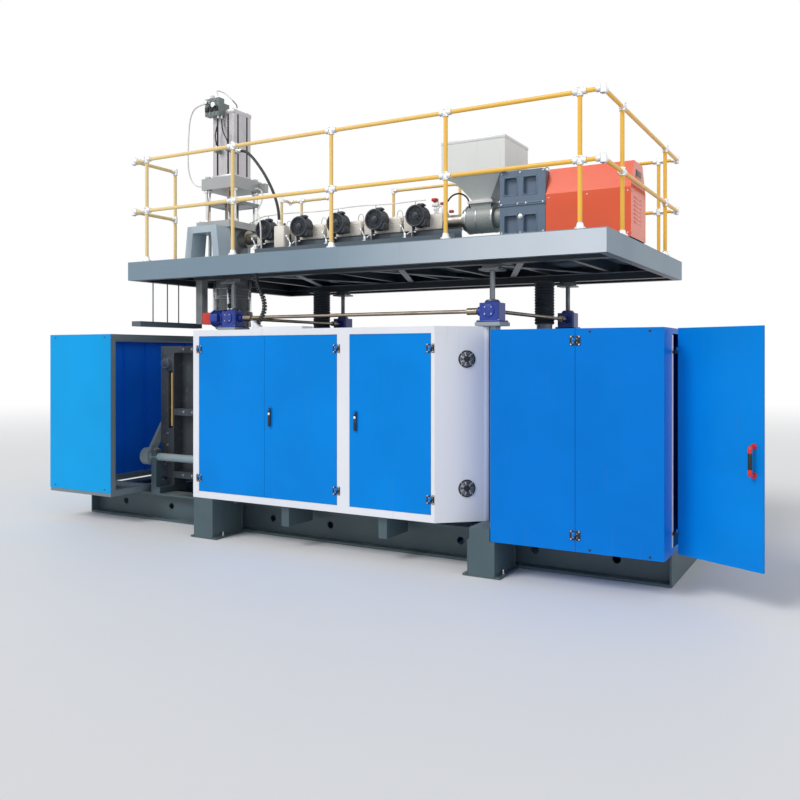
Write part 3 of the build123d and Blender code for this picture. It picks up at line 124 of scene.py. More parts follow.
class Graph:
    """The node tree of a material or of the world, with one method that adds any node."""

    def __init__(self, owner: bpy.types.Material | bpy.types.World) -> None:
        """Start with an empty tree.

        Args:
            owner: the material or world.
        """
        self.owner = owner
        owner.use_nodes = True
        self.tree = owner.node_tree
        self.tree.nodes.clear()

    def node(self, kind: str, settings: dict[str, object] | None = None,
             inputs: dict[int | str, object] | None = None, out: int | str = 0) -> Sock:
        """Add a node.

        Args:
            kind: the node's type.
            settings: its own properties, set first.
            inputs: values or links of its sockets.
            out: which output is wanted.

        Returns:
            The wrapped output.
        """
        made = self.tree.nodes.new(kind)
        for key, value in (settings or {}).items():
            setattr(made, key, value)
        for key, value in (inputs or {}).items():
            if isinstance(value, Sock):
                self.tree.links.new(value.socket, made.inputs[key])
            else:
                made.inputs[key].default_value = value
        return Sock(self, made.outputs[out] if made.outputs else None)

    def place(self, scale: Point = (1.0, 1.0, 1.0)) -> Sock:
        """Object coordinates, stretched along the axes."""
        at = self.node("ShaderNodeTexCoord", out="Object")
        return self.node("ShaderNodeMapping", {"vector_type": "POINT"}, {"Vector": at, "Scale": scale})

    def noise(self, at: Sock, scale: float, detail: float = 3.0) -> Sock:
        """Noise from 0 to 1."""
        return self.node("ShaderNodeTexNoise", {}, {"Vector": at, "Scale": scale, "Detail": detail})

    def mix(self, share: "Sock | float", a: object, b: object) -> Sock:
        """Mix two colours."""
        return self.node("ShaderNodeMix", {"data_type": "RGBA", "blend_type": "MIX"}, {0: share, 6: a, 7: b}, out=2)

    def split(self, vector: Sock, part: str) -> Sock:
        """One number of a vector."""
        return self.node("ShaderNodeSeparateXYZ", {}, {0: vector}, out=part)

    def bump(self, height: Sock, strength: float, depth: float) -> Sock:
        """A Bump node's normal."""
        return self.node("ShaderNodeBump", {}, {"Strength": strength, "Distance": depth, "Height": height})

    def surface(self, inputs: dict[str, object]) -> bpy.types.Material:
        """Close the tree with a Principled shader.

        Args:
            inputs: the shader's inputs.

        Returns:
            The material that owns the tree.
        """
        shader = self.node("ShaderNodeBsdfPrincipled", {}, inputs)
        self.node("ShaderNodeOutputMaterial", {}, {0: shader})
        return self.owner


def linear(text: str, share: float = 1.0) -> tuple[float, float, float, float]:
    """Turn an sRGB hex colour into a linear one.

    Args:
        text: six hex digits.
        share: how much it is brightened or darkened.

    Returns:
        Red, green, blue and full alpha.
    """
    values = [int(text[i : i + 2], 16) / 255 for i in (0, 2, 4)]
    made = [v / 12.92 if v <= 0.04045 else ((v + 0.055) / 1.055) ** 2.4 for v in values]
    return (*[min(1.0, v * share) for v in made], 1.0)


def squared(value: Sock) -> Sock:
    """The square of a value."""
    return value * value


# ---- finishes ----


@dataclass(frozen=True)
class Finish:
    """What every finish has: its name, its sRGB colour and the record's slot that it belongs to."""

    name: str
    colour: str
    slot: str

    def shades(self, low: float, high: float, colour: str = "") -> tuple[tuple[float, ...], ...]:
        """A darker and a paler shade of the finish's colour or of another one."""
        return linear(colour or self.colour, low), linear(colour or self.colour, high)

    def paint(self, graph: Graph, at: Sock) -> dict[str, object]:
        """Give the shader's inputs, from the place on the machine. Each kind of finish has its own."""
        raise NotImplementedError

    def build(self) -> bpy.types.Material:
        """Make the material."""
        graph = Graph(bpy.data.materials.new(self.name))
        return graph.surface(self.paint(graph, graph.place()))


@dataclass(frozen=True)
class Coating(Finish):
    """Paint or powder coat over sheet and plate: cloudy colour, dust on top faces, rubbed spots, orange peel."""

    roughness: float = 0.38
    metallic: float = 0.0
    cloud: float = 0.7
    variation: float = 0.07
    peel: float = 260.0
    depth: float = 0.00025
    dust: float = 0.12
    rub: float = 0.05
    coat: float = 0.0
    shine: float = 0.5
    grime: str = "6A6862"
    primer: str = "B8B4AC"
    settled: str = "B9B4A8"

    def tone(self, graph: Graph, at: Sock, clouds: Sock) -> Sock:
        """The paint's colour before dust and wear."""
        return self.cloudy(graph, clouds, self.colour)

    def cloudy(self, graph: Graph, clouds: Sock, colour: str) -> Sock:
        """Vary one colour between its darker and its paler shade."""
        return graph.mix(clouds.step(0.3, 0.7), *self.shades(1.0 - self.variation, 1.0 + self.variation, colour))

    def paint(self, graph: Graph, at: Sock) -> dict[str, object]:
        """Lay dust, rubbed specks and run-down streaks over the colour.

        Args:
            graph: the material's tree.
            at: the place on the machine.

        Returns:
            The shader's inputs.
        """
        clouds = graph.noise(at, 1.0 / self.cloud, 5.0)
        peel = graph.noise(at, self.peel, 2.0)
        streaks = graph.noise(graph.place((9.0, 9.0, 0.8)), 2.2, 4.0)
        speck = graph.noise(at, 34.0, 6.0).step(0.66, 0.74)
        up = graph.split(graph.node("ShaderNodeNewGeometry", out="Normal"), "Z").step(0.55, 0.95)
        settled = up * graph.noise(at, 5.0, 5.0).step(0.35, 0.7) * self.dust
        base = self.tone(graph, at, clouds)
        base = graph.mix(streaks.step(0.62, 0.8) * 0.1, base, linear(self.grime))
        base = graph.mix(speck * self.rub, base, linear(self.primer))
        base = graph.mix(settled, base, linear(self.settled))
        inputs = {
            "Base Color": base,
            "Roughness": self.roughness + (clouds - 0.5) * 0.14 + settled * 0.8 + speck * 0.06,
            "Metallic": self.metallic,
            "Specular IOR Level": self.shine,
            "Normal": graph.bump(peel + streaks * 0.4, 0.5, self.depth),
        }
        return inputs | ({"Coat Weight": self.coat, "Coat Roughness": 0.18} if self.coat else {})


@dataclass(frozen=True)
class PaintedHighlightCoating(Coating):
    """Paint with a painted highlight: paler towards the machine's left end, its own colour towards the right."""

    painted_highlight: str = "FFFFFF"
    reach: float = 2.4

    def tone(self, graph: Graph, at: Sock, clouds: Sock) -> Sock:
        """Mix the painted highlight's paler tone and the paint's own colour along the machine."""
        # painted highlight: the paler tone at the left end fades into the paint's own colour at the right end
        share = graph.split(at, "X").step(-self.reach, self.reach)
        return graph.mix(share, self.cloudy(graph, clouds, self.painted_highlight), self.cloudy(graph, clouds, self.colour))


@dataclass(frozen=True)
class GuardPaint(Coating):
    """Pale blue on the outer faces of the left guard, and a deeper blue on its inner faces as painted shade."""

    # painted shade: the deeper blue of the guard's inner faces
    painted_shade_blue: str = "0A74F2"
    outer_x: float = -3.536
    outer_y: float = 1.32

    def tone(self, graph: Graph, at: Sock, clouds: Sock) -> Sock:
        """Tell the inner faces from the outer ones by their place."""
        # painted shade: the inner faces take the deeper blue, the outer ones the pale blue
        shaded_faces = (graph.split(at, "X") > self.outer_x) * (squared(graph.split(at, "Y")) < self.outer_y**2)
        return graph.mix(shaded_faces, self.cloudy(graph, clouds, self.colour), self.cloudy(graph, clouds, self.painted_shade_blue))


@dataclass(frozen=True)
class Metal(Finish):
    """Bare metal with a grain along one axis: turned, ground, drawn or plated."""

    roughness: float = 0.3
    grain: Axis = Axis.Z
    fineness: float = 420.0
    depth: float = 0.0001
    tarnish: float = 0.2
    stain: str = "6B6660"

    def paint(self, graph: Graph, at: Sock) -> dict[str, object]:
        """Draw the grain, a film of tarnish and its spots.

        Args:
            graph: the material's tree.
            at: the place on the machine.

        Returns:
            The shader's inputs.
        """
        lines = graph.noise(graph.place(tuple(0.03 if part else 1.0 for part in self.grain.value)), self.fineness)
        film = graph.noise(at, 7.0, 6.0).step(0.42, 0.72)
        spots = graph.noise(at, 52.0, 4.0).step(0.64, 0.72)
        base = graph.mix(lines.step(0.3, 0.7), *self.shades(0.9, 1.06))
        base = graph.mix(film * self.tarnish, base, linear(self.stain))
        return {
            "Base Color": graph.mix(spots * self.tarnish * 0.8, base, linear(self.stain, 0.6)),
            "Metallic": 1.0 - film * self.tarnish * 0.4,
            "Roughness": self.roughness + (lines - 0.5) * 0.16 + film * self.tarnish * 0.5,
            "Normal": graph.bump(lines, 0.5, self.depth),
        }


@dataclass(frozen=True)
class Casting(Finish):
    """Painted casting: pebbled skin, oily patches and worn high spots, and bare metal above a height."""

    roughness: float = 0.5
    pebble: float = 95.0
    depth: float = 0.0009
    oil: float = 0.35
    metallic: float = 0.15
    pale_above: float = 0.0
    worn: str = "9EA2A2"
    bare: str = "E2E3E1"

    def paint(self, graph: Graph, at: Sock) -> dict[str, object]:
        """Darken the oily patches and bare the worn spots.

        Args:
            graph: the material's tree.
            at: the place on the machine.

        Returns:
            The shader's inputs.
        """
        skin = graph.noise(at, self.pebble, 5.0)
        patches = graph.noise(at, 3.1, 5.0).step(0.5, 0.72)
        worn = graph.noise(at, 21.0, 7.0).step(0.6, 0.68)
        base = graph.mix(skin.step(0.35, 0.65), *self.shades(0.88, 1.1))
        base = graph.mix(patches * self.oil, base, linear(self.colour, 0.42))
        base = graph.mix(worn * 0.16, base, linear(self.worn))
        if self.pale_above:
            base = graph.mix(graph.split(at, "Z") > self.pale_above, base, linear(self.bare))
        return {
            "Base Color": base,
            "Metallic": self.metallic,
            "Roughness": self.roughness - patches * self.oil * 0.5 + (skin - 0.5) * 0.15,
            "Normal": graph.bump(skin, 0.7, self.depth),
        }


@dataclass(frozen=True)
class Moulded(Finish):
    """Plastic or rubber with a fine moulded texture and pale scuffs."""

    roughness: float = 0.45
    texture: float = 480.0
    depth: float = 0.0002
    scuff: float = 0.12
    scuffed: str = "A7A5A0"

    def paint(self, graph: Graph, at: Sock) -> dict[str, object]:
        """Lay scuffs over the cloudy colour.

        Args:
            graph: the material's tree.
            at: the place on the machine.

        Returns:
            The shader's inputs.
        """
        fine = graph.node("ShaderNodeTexVoronoi", {}, {"Vector": at, "Scale": self.texture})
        scuffs = graph.noise(at, 15.0, 7.0).step(0.58, 0.72)
        base = graph.mix(graph.noise(at, 4.0).step(0.3, 0.7), *self.shades(0.9, 1.1))
        return {
            "Base Color": graph.mix(scuffs * self.scuff, base, linear(self.scuffed)),
            "Roughness": self.roughness + scuffs * 0.15 + (graph.noise(at, 60.0) - 0.5) * 0.1,
            "Normal": graph.bump(fine, 0.35, self.depth),
        }


@dataclass(frozen=True)
class Tread(Finish):
    """Painted deck plate with raised lozenges in two directions and dirt between them."""

    pitch: float = 0.034
    diagonal: float = 0.7071
    worn: str = "A9B2B4"

    def paint(self, graph: Graph, at: Sock) -> dict[str, object]:
        """Raise the lozenges and darken the hollows.

        Args:
            graph: the material's tree.
            at: the place on the machine.

        Returns:
            The shader's inputs.
        """
        x, y = graph.split(at, "X"), graph.split(at, "Y")
        bars = []
        for turn, shift in ((1.0, 0.0), (-1.0, 0.5)):
            along = ((x + y * turn) * (self.diagonal / self.pitch) + shift) % 1.0 - 0.5
            across = ((y - x * turn) * (self.diagonal / self.pitch) + shift) % 1.0 - 0.5
            bars.append(1.0 - (squared(along) * 7.0 + squared(across) * 90.0).step(0.4, 1.0))
        raised = bars[0] + bars[1]
        dirt = graph.noise(at, 2.4, 6.0).step(0.4, 0.75)
        base = graph.mix(dirt * 0.45, linear(self.colour), linear(self.colour, 0.6))
        return {
            "Base Color": graph.mix(raised * 0.22, base, linear(self.worn)),
            "Metallic": 0.2,
            "Roughness": 0.5 + dirt * 0.2 - raised * 0.12,
            "Normal": graph.bump(raised, 0.8, 0.0015),
        }


@dataclass(frozen=True)
class DeckPaint(Finish):
    """Paint of the platform's frame: pale on the outer channel and the braces, with a painted reflection that lightens
    the front towards the right end, and painted shade that makes the frame's interior faces dark and dull.
    """

    # painted reflection: the paler tone, and the span along X over which the outer faces lighten
    painted_highlight: str = "CBD4DD"
    painted_reflection_span: tuple[float, float] = (-0.42, 2.07)
    # painted shade: the dark colour of the frame's interior faces; the braces keep a pale one
    inner: str = "333D42"
    braces: str = "A4AEB2"
    clouded: str = "667076"
    streaked: str = "66706F"
    edge_x: float = 2.381
    edge_y: float = 1.315
    brace: tuple[float, float] = (2.504, 2.5125)

    def paint(self, graph: Graph, at: Sock) -> dict[str, object]:
        """Tell the outer faces, the braces and the inner faces by their place.

        Args:
            graph: the material's tree.
            at: the place on the machine.

        Returns:
            The shader's inputs.
        """
        x, y, z = (graph.split(at, part) for part in "XYZ")
        outside = (squared(x) > self.edge_x**2) + (squared(y) > self.edge_y**2)
        braces = (z > self.brace[0]) * (z < self.brace[1])
        clouds = graph.noise(at, 1.3, 5.0)
        streaks = graph.noise(graph.place((7.0, 7.0, 0.6)), 2.0, 4.0).step(0.6, 0.8)
        # painted reflection: the outer faces lighten towards the right end, but not on the end face
        outer = graph.mix(x.step(*self.painted_reflection_span) * (x < self.edge_x), linear(self.colour), linear(self.painted_highlight))
        outer = graph.mix(clouds.step(0.3, 0.7) * 0.12, outer, linear(self.clouded))
        outer = graph.mix(streaks * 0.12, outer, linear(self.streaked))
        # painted shade: the interior faces turn dark, except on the braces
        inner = graph.mix(clouds.step(0.35, 0.7), *self.shades(0.85, 1.2, self.inner))
        inner = graph.mix(braces * 0.75, inner, linear(self.braces))
        return {
            "Base Color": graph.mix(outside.step(0.0, 0.5), inner, outer),
            "Roughness": 0.42 + (clouds - 0.5) * 0.15,
            "Metallic": 0.08,
            "Normal": graph.bump(graph.noise(at, 240.0, 2.0), 0.5, 0.00025),
        }


class Finishes:
    """Every finish of the machine, built once and asked for by name."""

    LIST = (
        Coating("BaseEnamel", "475A61", "base_paint", 0.45, variation=0.12, rub=0.1, dust=0.2),
        Coating("DoorBlue", "0084DE", "blue_paint", 0.42, variation=0.05, rub=0.02, dust=0.06, shine=0.09),
        Coating("EnclosureBlue", "0077D4", "blue_paint", 0.42, variation=0.06, rub=0.02, dust=0.05, shine=0.09),
        # the guard's inner faces carry a deeper blue as painted shade
        GuardPaint("GuardBlue", "06A0E5", "blue_paint", 0.4, variation=0.05, rub=0.02, dust=0.08, shine=0.12),
        Coating("CabinetWhite", "E6E8EE", "white_paint", 0.36, variation=0.02, rub=0.02, dust=0.1),
        # the deck frame carries a painted reflection towards the right and painted shade on its interior faces
        DeckPaint("DeckGreyGreen", "788E9E", "deck_paint"),
        Coating("PlateGrey", "9AA4A8", "plate_grey", 0.42, metallic=0.1, variation=0.08, rub=0.08),
        Coating("StandGrey", "BCCCD8", "plate_grey", 0.42, metallic=0.05, variation=0.06, rub=0.06),
        Coating("PlatePale", "B4B6B6", "plate_grey", 0.4, metallic=0.2, variation=0.06, rub=0.06),
        Coating("TroughSlate", "55626D", "plate_grey", 0.45, variation=0.1, rub=0.08),
        Coating("LeverGrey", "8A9AA0", "cast_grey", 0.42, variation=0.08, rub=0.06),
        Coating("GuardTubeGrey", "74828A", "plate_grey", 0.4, variation=0.06),
        # the rails' yellow carries a painted highlight, paler towards the left end
        PaintedHighlightCoating("RailYellow", "F7C048", "rail_yellow", 0.32, variation=0.04, rub=0.03, shine=0.4,
                   painted_highlight="F2D698"),
        Coating("MotorOrange", "EE5C32", "orange_paint", 0.3, variation=0.05, coat=0.2, rub=0.02),
        Coating("HopperWhite", "E4E5E3", "hopper_steel", 0.34, metallic=0.05, variation=0.03),
        Coating("BandCream", "FAF2E8", "cover_cream", 0.48, variation=0.05, rub=0.05),
        Coating("BlowerSlate", "363C44", "blower_black", 0.42, variation=0.1, rub=0.08),
        Coating("GearboxSlate", "62758B", "slate_paint", 0.4, variation=0.08, rub=0.08, coat=0.1),
        Coating("LiftBlue", "1E3C9C", "lift_blue", 0.36, variation=0.1, rub=0.1, coat=0.1),
        Coating("BrakeRed", "DC2A1C", "lift_blue", 0.34, variation=0.06, rub=0.04, coat=0.15),
        Metal("FittingSilver", "EDEEEF", "fitting_silver", 0.46, fineness=160.0, tarnish=0.08),
        Metal("ShaftSteel", "C2C6CA", "bright_steel", 0.28, Axis.X, tarnish=0.25),
        Metal("LineSteel", "A89C8C", "bright_steel", 0.36, Axis.X, tarnish=0.4, stain="7A6248"),
        Metal("LiftSteel", "7E8488", "bright_steel", 0.36, Axis.Z, tarnish=0.35),
        Metal("ChromeBar", "E2E4E6", "chrome_bar", 0.12, Axis.Z, tarnish=0.08),
        Metal("TieChrome", "C4C6C8", "chrome_bar", 0.32, Axis.Y, tarnish=0.12),
        Metal("BarrelSteel", "9C9890", "bright_steel", 0.38, Axis.X, tarnish=0.45, stain="7A5A3C"),
        Metal("TowerAlloy", "BDBBBE", "tower_silver", 0.42, Axis.Z, fineness=260.0, tarnish=0.1),
        Metal("SlotBrass", "EFC25E", "slot_brass", 0.22, Axis.Z, tarnish=0.1, stain="8A6A30"),
        Metal("BoltZinc", "B9BBBE", "bright_steel", 0.34, Axis.Z, fineness=200.0, tarnish=0.2),
        Metal("CopperLine", "A88A76", "slot_brass", 0.3, Axis.X, tarnish=0.25, stain="5A3A28"),
        Casting("PlatenGrey", "4A5056", "cast_grey"),
        Casting("HeadGrey", "83878A", "cast_grey", 0.46, oil=0.3, metallic=0.3),
        Casting("FeedGrey", "9DA19F", "cast_grey", 0.5),
        Casting("ValveGreen", "76807E", "cast_grey", 0.42, pebble=150.0, depth=0.0004, oil=0.2, pale_above=4.478),
        Moulded("HandleBlack", "17191D", "black_plastic", 0.36),
        Moulded("HoseBlack", "1A1B1D", "hose_black", 0.5, 300.0),
        Moulded("HoseWhite", "E8E6E0", "hose_white", 0.4, 300.0, scuff=0.05),
        Moulded("ChainBlack", "222427", "black_plastic", 0.42),
        Moulded("BootGrey", "4B5157", "hose_black", 0.55, 300.0),
        Moulded("KnobRed", "D02A22", "black_plastic", 0.34),
        Tread("DeckTread", "7E949C", "deck_paint"),
    )

    def __init__(self) -> None:
        """Start with nothing built."""
        self._known = {look.name: look for look in self.LIST}
        self._built: dict[str, bpy.types.Material] = {}

    def __getitem__(self, name: str) -> bpy.types.Material:
        """Build the material of a finish the first time it is asked for.

        Args:
            name: the finish's name.

        Returns:
            The material.
        """
        if name not in self._built:
            self._built[name] = self._known[name].build()
        return self._built[name]

    def slot(self, name: str) -> str:
        """The record's slot that a finish belongs to."""
        return self._known[name].slot


FINISHES = Finishes()

NODE_FINISHES = {
    "BaseEnamel": "base_frame base_feet clamp_bed clamp_cylinder",
    "DoorBlue": "cabinet_door_left cabinet_door_middle cabinet_door_right enclosure_end_door",
    "EnclosureBlue": "enclosure_front_door enclosure_panels enclosure_shell",
    "GuardBlue": "guard_panels",
    "CabinetWhite": "cabinet_shell",
    "HandleBlack": "cabinet_handle_middle cabinet_handle_right door_hinges vent_housings",
    "FittingSilver": "railing_fittings vent_rotor_upper vent_rotor_lower",
    "GuardTubeGrey": "guard_frame",
    "PlateGrey": "lift_columns power_unit switchgear",
    "StandGrey": "head_stands",
    "PlatePale": "tower_plates",
    "TroughSlate": "platform_stands",
    "LeverGrey": "sync_lever",
    "LiftBlue": "lift_gearboxes",
    "LiftSteel": "lift_hangers crosshead",
    "LineSteel": "line_shaft_front line_shaft_left line_shaft_right",
    "ShaftSteel": "extruder_screw",
    "DeckGreyGreen": "deck_frame",
    "DeckTread": "deck_floor",
    "RailYellow": "railing_tubes",
    "BarrelSteel": "barrel",
    "FeedGrey": "feed_housing",
    "HopperWhite": "hopper",
    "GearboxSlate": "extruder_drive",
    "MotorOrange": "motor_cover",
    "BandCream": "barrel_covers",
    "BlowerSlate": "blowers",
    "HeadGrey": "head_body",
    "ChromeBar": "tower_pillars clamp_rod",
    "TieChrome": "tie_bars",
    "TowerAlloy": "head_cylinder",
    "ValveGreen": "valve_block",
    "PlatenGrey": "front_platen rear_platen",
    "SlotBrass": "slot_bar",
    "HoseWhite": "tower_hose_left tower_hose_right",
    "HoseBlack": "tower_hose_thick valve_hose_left valve_hose_right",
    "ChainBlack": "cable_chain",
}


def dress_nodes() -> None:
    """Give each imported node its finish."""
    for look, names in NODE_FINISHES.items():
        for name in names.split():
            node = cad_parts[name]
            node.data.materials.clear()
            node.data.materials.append(FINISHES[look])
    LOG.info("dressed %d nodes", sum(len(names.split()) for names in NODE_FINISHES.values()))


# ---- the bench: modelling operators on one new object at a time ----

UP, DOWN, FRONT, BACK, RIGHT, LEFT = (0, 0, 1), (0, 0, -1), (0, -1, 0), (0, 1, 0), (1, 0, 0), (-1, 0, 0)
CORNERS = ((-1, -1), (-1, 1), (1, -1), (1, 1))
QUARTERS = tuple(math.radians(90 * k + 45) for k in range(4))
SMOOTH_ANGLE = math.radians(35)
BEVEL_ANGLE = math.radians(40)


def choose(*pieces: Thing) -> None:
    """Leave edit mode, select only these pieces and make the first one active."""
    if bpy.context.object and bpy.context.object.mode != "OBJECT":
        bpy.ops.object.mode_set(mode="OBJECT")
    bpy.ops.object.select_all(action="DESELECT")
    for piece in pieces:
        piece.select_set(True)
    if pieces:
        bpy.context.view_layer.objects.active = pieces[0]


def settle(piece: Thing, round_by: float = 0.0) -> Thing:
    """Move a piece's place into its mesh, and round its sharp edges where a width is given.

    Args:
        piece: the piece.
        round_by: the width of the rounding.

    Returns:
        The piece.
    """
    choose(piece)
    bpy.ops.object.transform_apply(location=True, rotation=True, scale=True)
    if round_by:
        bevel = piece.modifiers.new("rounding", "BEVEL")
        bevel.width, bevel.segments, bevel.use_clamp_overlap = round_by, 2, True
        bevel.limit_method, bevel.angle_limit = "ANGLE", BEVEL_ANGLE
        bpy.ops.object.modifier_apply(modifier=bevel.name)
    return piece


def block(low: Point, high: Point, round_by: float) -> Thing:
    """A block between two corners, with rounded edges.

    Args:
        low: the corner with the lowest coordinates.
        high: the opposite corner.
        round_by: the width of the rounding.

    Returns:
        The block.
    """
    choose()
    low_v, high_v = Vector(low), Vector(high)
    bpy.ops.mesh.primitive_cube_add(size=1.0, location=(low_v + high_v) / 2)
    bpy.context.object.scale = high_v - low_v
    return settle(bpy.context.object, round_by)


def drum(start: Point, end: Point, radius: float, sides: int = 24, round_by: float = 0.0,
         tip: float | None = None) -> Thing:
    """A round bar or cone from one point to another.

    Args:
        start: the middle of one end.
        end: the middle of the other end.
        radius: the radius at the start.
        sides: how many sides it has.
        round_by: the width of the rounding.
        tip: the radius at the end, where it isn't the same.

    Returns:
        The bar.
    """
    choose()
    first, last = Vector(start), Vector(end)
    run = last - first
    bpy.ops.mesh.primitive_cone_add(
        vertices=sides, radius1=radius, radius2=radius if tip is None else tip, depth=run.length,
        location=(first + last) / 2, rotation=run.to_track_quat("Z", "Y").to_euler(),
    )
    return settle(bpy.context.object, round_by)


def ring(centre: Point, axis: Point, radius: float, thick: float, sides: int = 40, around: int = 8) -> Thing:
    """A round wire ring.

    Args:
        centre: its middle.
        axis: the direction that it lies across.
        radius: from the middle to the wire's own middle.
        thick: the wire's radius.
        sides: how many sides the ring has.
        around: how many sides the wire has.

    Returns:
        The ring.
    """
    choose()
    turn = Vector(axis).to_track_quat("Z", "Y").to_euler()
    bpy.ops.mesh.primitive_torus_add(location=centre, rotation=turn, major_segments=sides, minor_segments=around,
                                     major_radius=radius, minor_radius=thick)
    return settle(bpy.context.object)


def post(x: float, y: float, low: float, high: float, radius: float, sides: int = 24, round_by: float = 0.0,
         tip: float | None = None) -> Thing:
    """An upright round bar or cone, from low to high."""
    return drum((x, y, low), (x, y, high), radius, sides, round_by, tip)


def slab(x: float, y: float, half_x: float, half_y: float, low: float, high: float, round_by: float) -> Thing:
    """A block round an upright line, from low to high."""
    return block((x - half_x, y - half_y, low), (x + half_x, y + half_y, high), round_by)


def stack(start: Point, out: Point, *steps: tuple[float, float, int, float]) -> list[Thing]:
    """Round bars that follow each other in one direction.

    Args:
        start: where the first one starts.
        out: the direction.
        steps: the length, radius, number of sides and rounding of each.

    Returns:
        The bars.
    """
    made, spot = [], Vector(start)
    for length, radius, sides, round_by in steps:
        end = spot + Vector(out) * length
        made.append(drum(spot, end, radius, sides, round_by))
        spot = end
    return made


def join(pieces: list[Thing]) -> Thing:
    """Join pieces into one.

    Args:
        pieces: the pieces.

    Returns:
        The first, which holds them all.
    """
    choose(*pieces)
    if len(pieces) > 1:
        bpy.ops.object.join()
    return pieces[0]


def repeat(piece: Thing, places: list[Matrix]) -> Thing:
    """Copy a piece modelled at the origin to each place and join the copies.

    Args:
        piece: the piece, which is used up.
        places: where the copies go.

    Returns:
        The joined copies.
    """
    copies = []
    for place in places:
        copy = piece.copy()
        copy.data = piece.data.copy()
        copy.data.transform(place)
        bpy.context.scene.collection.objects.link(copy)
        copies.append(copy)
    mesh = piece.data
    bpy.data.objects.remove(piece)
    bpy.data.meshes.remove(mesh)
    return join(copies)


def line_through(points: list[Point], name: str, radius: float, around: int, steps: int) -> Thing:
    """A curve whose smooth line is drawn by control points.

    Args:
        points: the control points.
        name: the curve's name.
        radius: the line's own radius, or 0 for a bare line.
        around: how finely its section is rounded.
        steps: how finely its length is divided.

    Returns:
        The curve.
    """
    curve = bpy.data.curves.new(name, "CURVE")
    curve.dimensions = "3D"
    spline = curve.splines.new("NURBS")
    spline.points.add(len(points) - 1)
    for spot, point in zip(spline.points, points):
        spot.co = (*point, 1.0)
    spline.order_u = 3
    spline.use_endpoint_u = True
    curve.resolution_u = steps
    curve.bevel_depth = radius
    curve.bevel_resolution = around
    curve.use_fill_caps = radius > 0
    made = bpy.data.objects.new(name, curve)
    bpy.context.scene.collection.objects.link(made)
    return made


def wire(points: list[Point], radius: float, around: int = 3) -> Thing:
    """A bent wire, pipe or cable along a smooth line.

    Args:
        points: the line's control points.
        radius: the wire's radius.
        around: how finely its section is rounded.

    Returns:
        The wire, as a mesh.
    """
    choose(line_through(points, "wire", radius, around, steps=8))
    bpy.ops.object.convert(target="MESH")
    return bpy.context.object


def dress(piece: Thing, name: str, look: str) -> Thing:
    """Settle, smooth, name and paint a mesh.

    Args:
        piece: the mesh.
        name: its name.
        look: the name of its finish.

    Returns:
        The piece.
    """
    settle(piece)
    bpy.ops.object.shade_smooth_by_angle(angle=SMOOTH_ANGLE)
    piece.name = piece.data.name = name
    piece.data.materials.clear()
    piece.data.materials.append(FINISHES[look])
    FINISHES.slot(look)
    LOG.info("made %s", name)
    return piece


def finish(pieces: Thing | list[Thing], name: str, look: str, rig: Rig = Rig.PLATFORM) -> None:
    """Join pieces, dress the result and let it ride on its body."""
    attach(dress(join(pieces if isinstance(pieces, list) else [pieces]), name, look), rig.value)


def aim(spot: Point, out: Point) -> Matrix:
    """A place at a spot, with its own Z turned outwards."""
    return Matrix.Translation(spot) @ Vector(out).to_track_quat("Z", "Y").to_matrix().to_4x4()


def about(centre: Point, axis: Axis, reach: float, turn: float) -> Point:
    """The point at a distance and an angle in radians round a centre, in the plane across an axis.

    Args:
        centre: the centre.
        axis: the axis.
        reach: the distance.
        turn: the angle.

    Returns:
        The point.
    """
    c, s = math.cos(turn) * reach, math.sin(turn) * reach
    step = {Axis.X: (0.0, c, s), Axis.Y: (c, 0.0, s), Axis.Z: (c, s, 0.0)}[axis]
    return tuple(a + b for a, b in zip(centre, step))


# ---- screws and bolts, each modelled once at the origin and copied to its places ----


def hex_bolt(size: float) -> Thing:
    """A hexagon head on a washer."""
    washer = drum((0, 0, 0), (0, 0, 0.16 * size), 1.05 * size, 16)
    return join([drum((0, 0, 0.16 * size), (0, 0, 0.8 * size), 0.92 * size, 6, 0.07 * size), washer])


def pan_screw(size: float) -> Thing:
    """A low round head, its top drawn in."""
    lower = drum((0, 0, 0), (0, 0, 0.3 * size), size, 12)
    return join([lower, drum((0, 0, 0.3 * size), (0, 0, 0.55 * size), size, 12, tip=0.55 * size)])


def cap_screw(size: float) -> Thing:
    """A socket head, its top inset and sunk.

    Args:
        size: its radius and its height.

    Returns:
        The screw.
    """
    head = drum((0, 0, 0), (0, 0, size), size, 14)
    for face in head.data.polygons:
        face.select = face.normal.z > 0.9
    choose(head)
    bpy.ops.object.mode_set(mode="EDIT")
    bpy.ops.mesh.select_mode(type="FACE")
    bpy.ops.mesh.inset(thickness=0.4 * size)
    bpy.ops.mesh.extrude_region_move(TRANSFORM_OT_translate={"value": (0, 0, -0.5 * size)})
    bpy.ops.object.mode_set(mode="OBJECT")
    return head


def set_out(template: Thing, spots: list[tuple[Point, Point]], name: str, rig: Rig = Rig.PLATFORM,
            look: str = "BoltZinc") -> None:
    """Copy a screw or bolt to spots, each with the direction that it faces."""
    finish(repeat(template, [aim(spot, out) for spot, out in spots]), name, look, rig)


# ---- hoses ----


class Stiffness(Enum):
    """How easily a hose bends."""

    LIMP = "limp"
    MEDIUM = "medium"
    STIFF = "stiff"


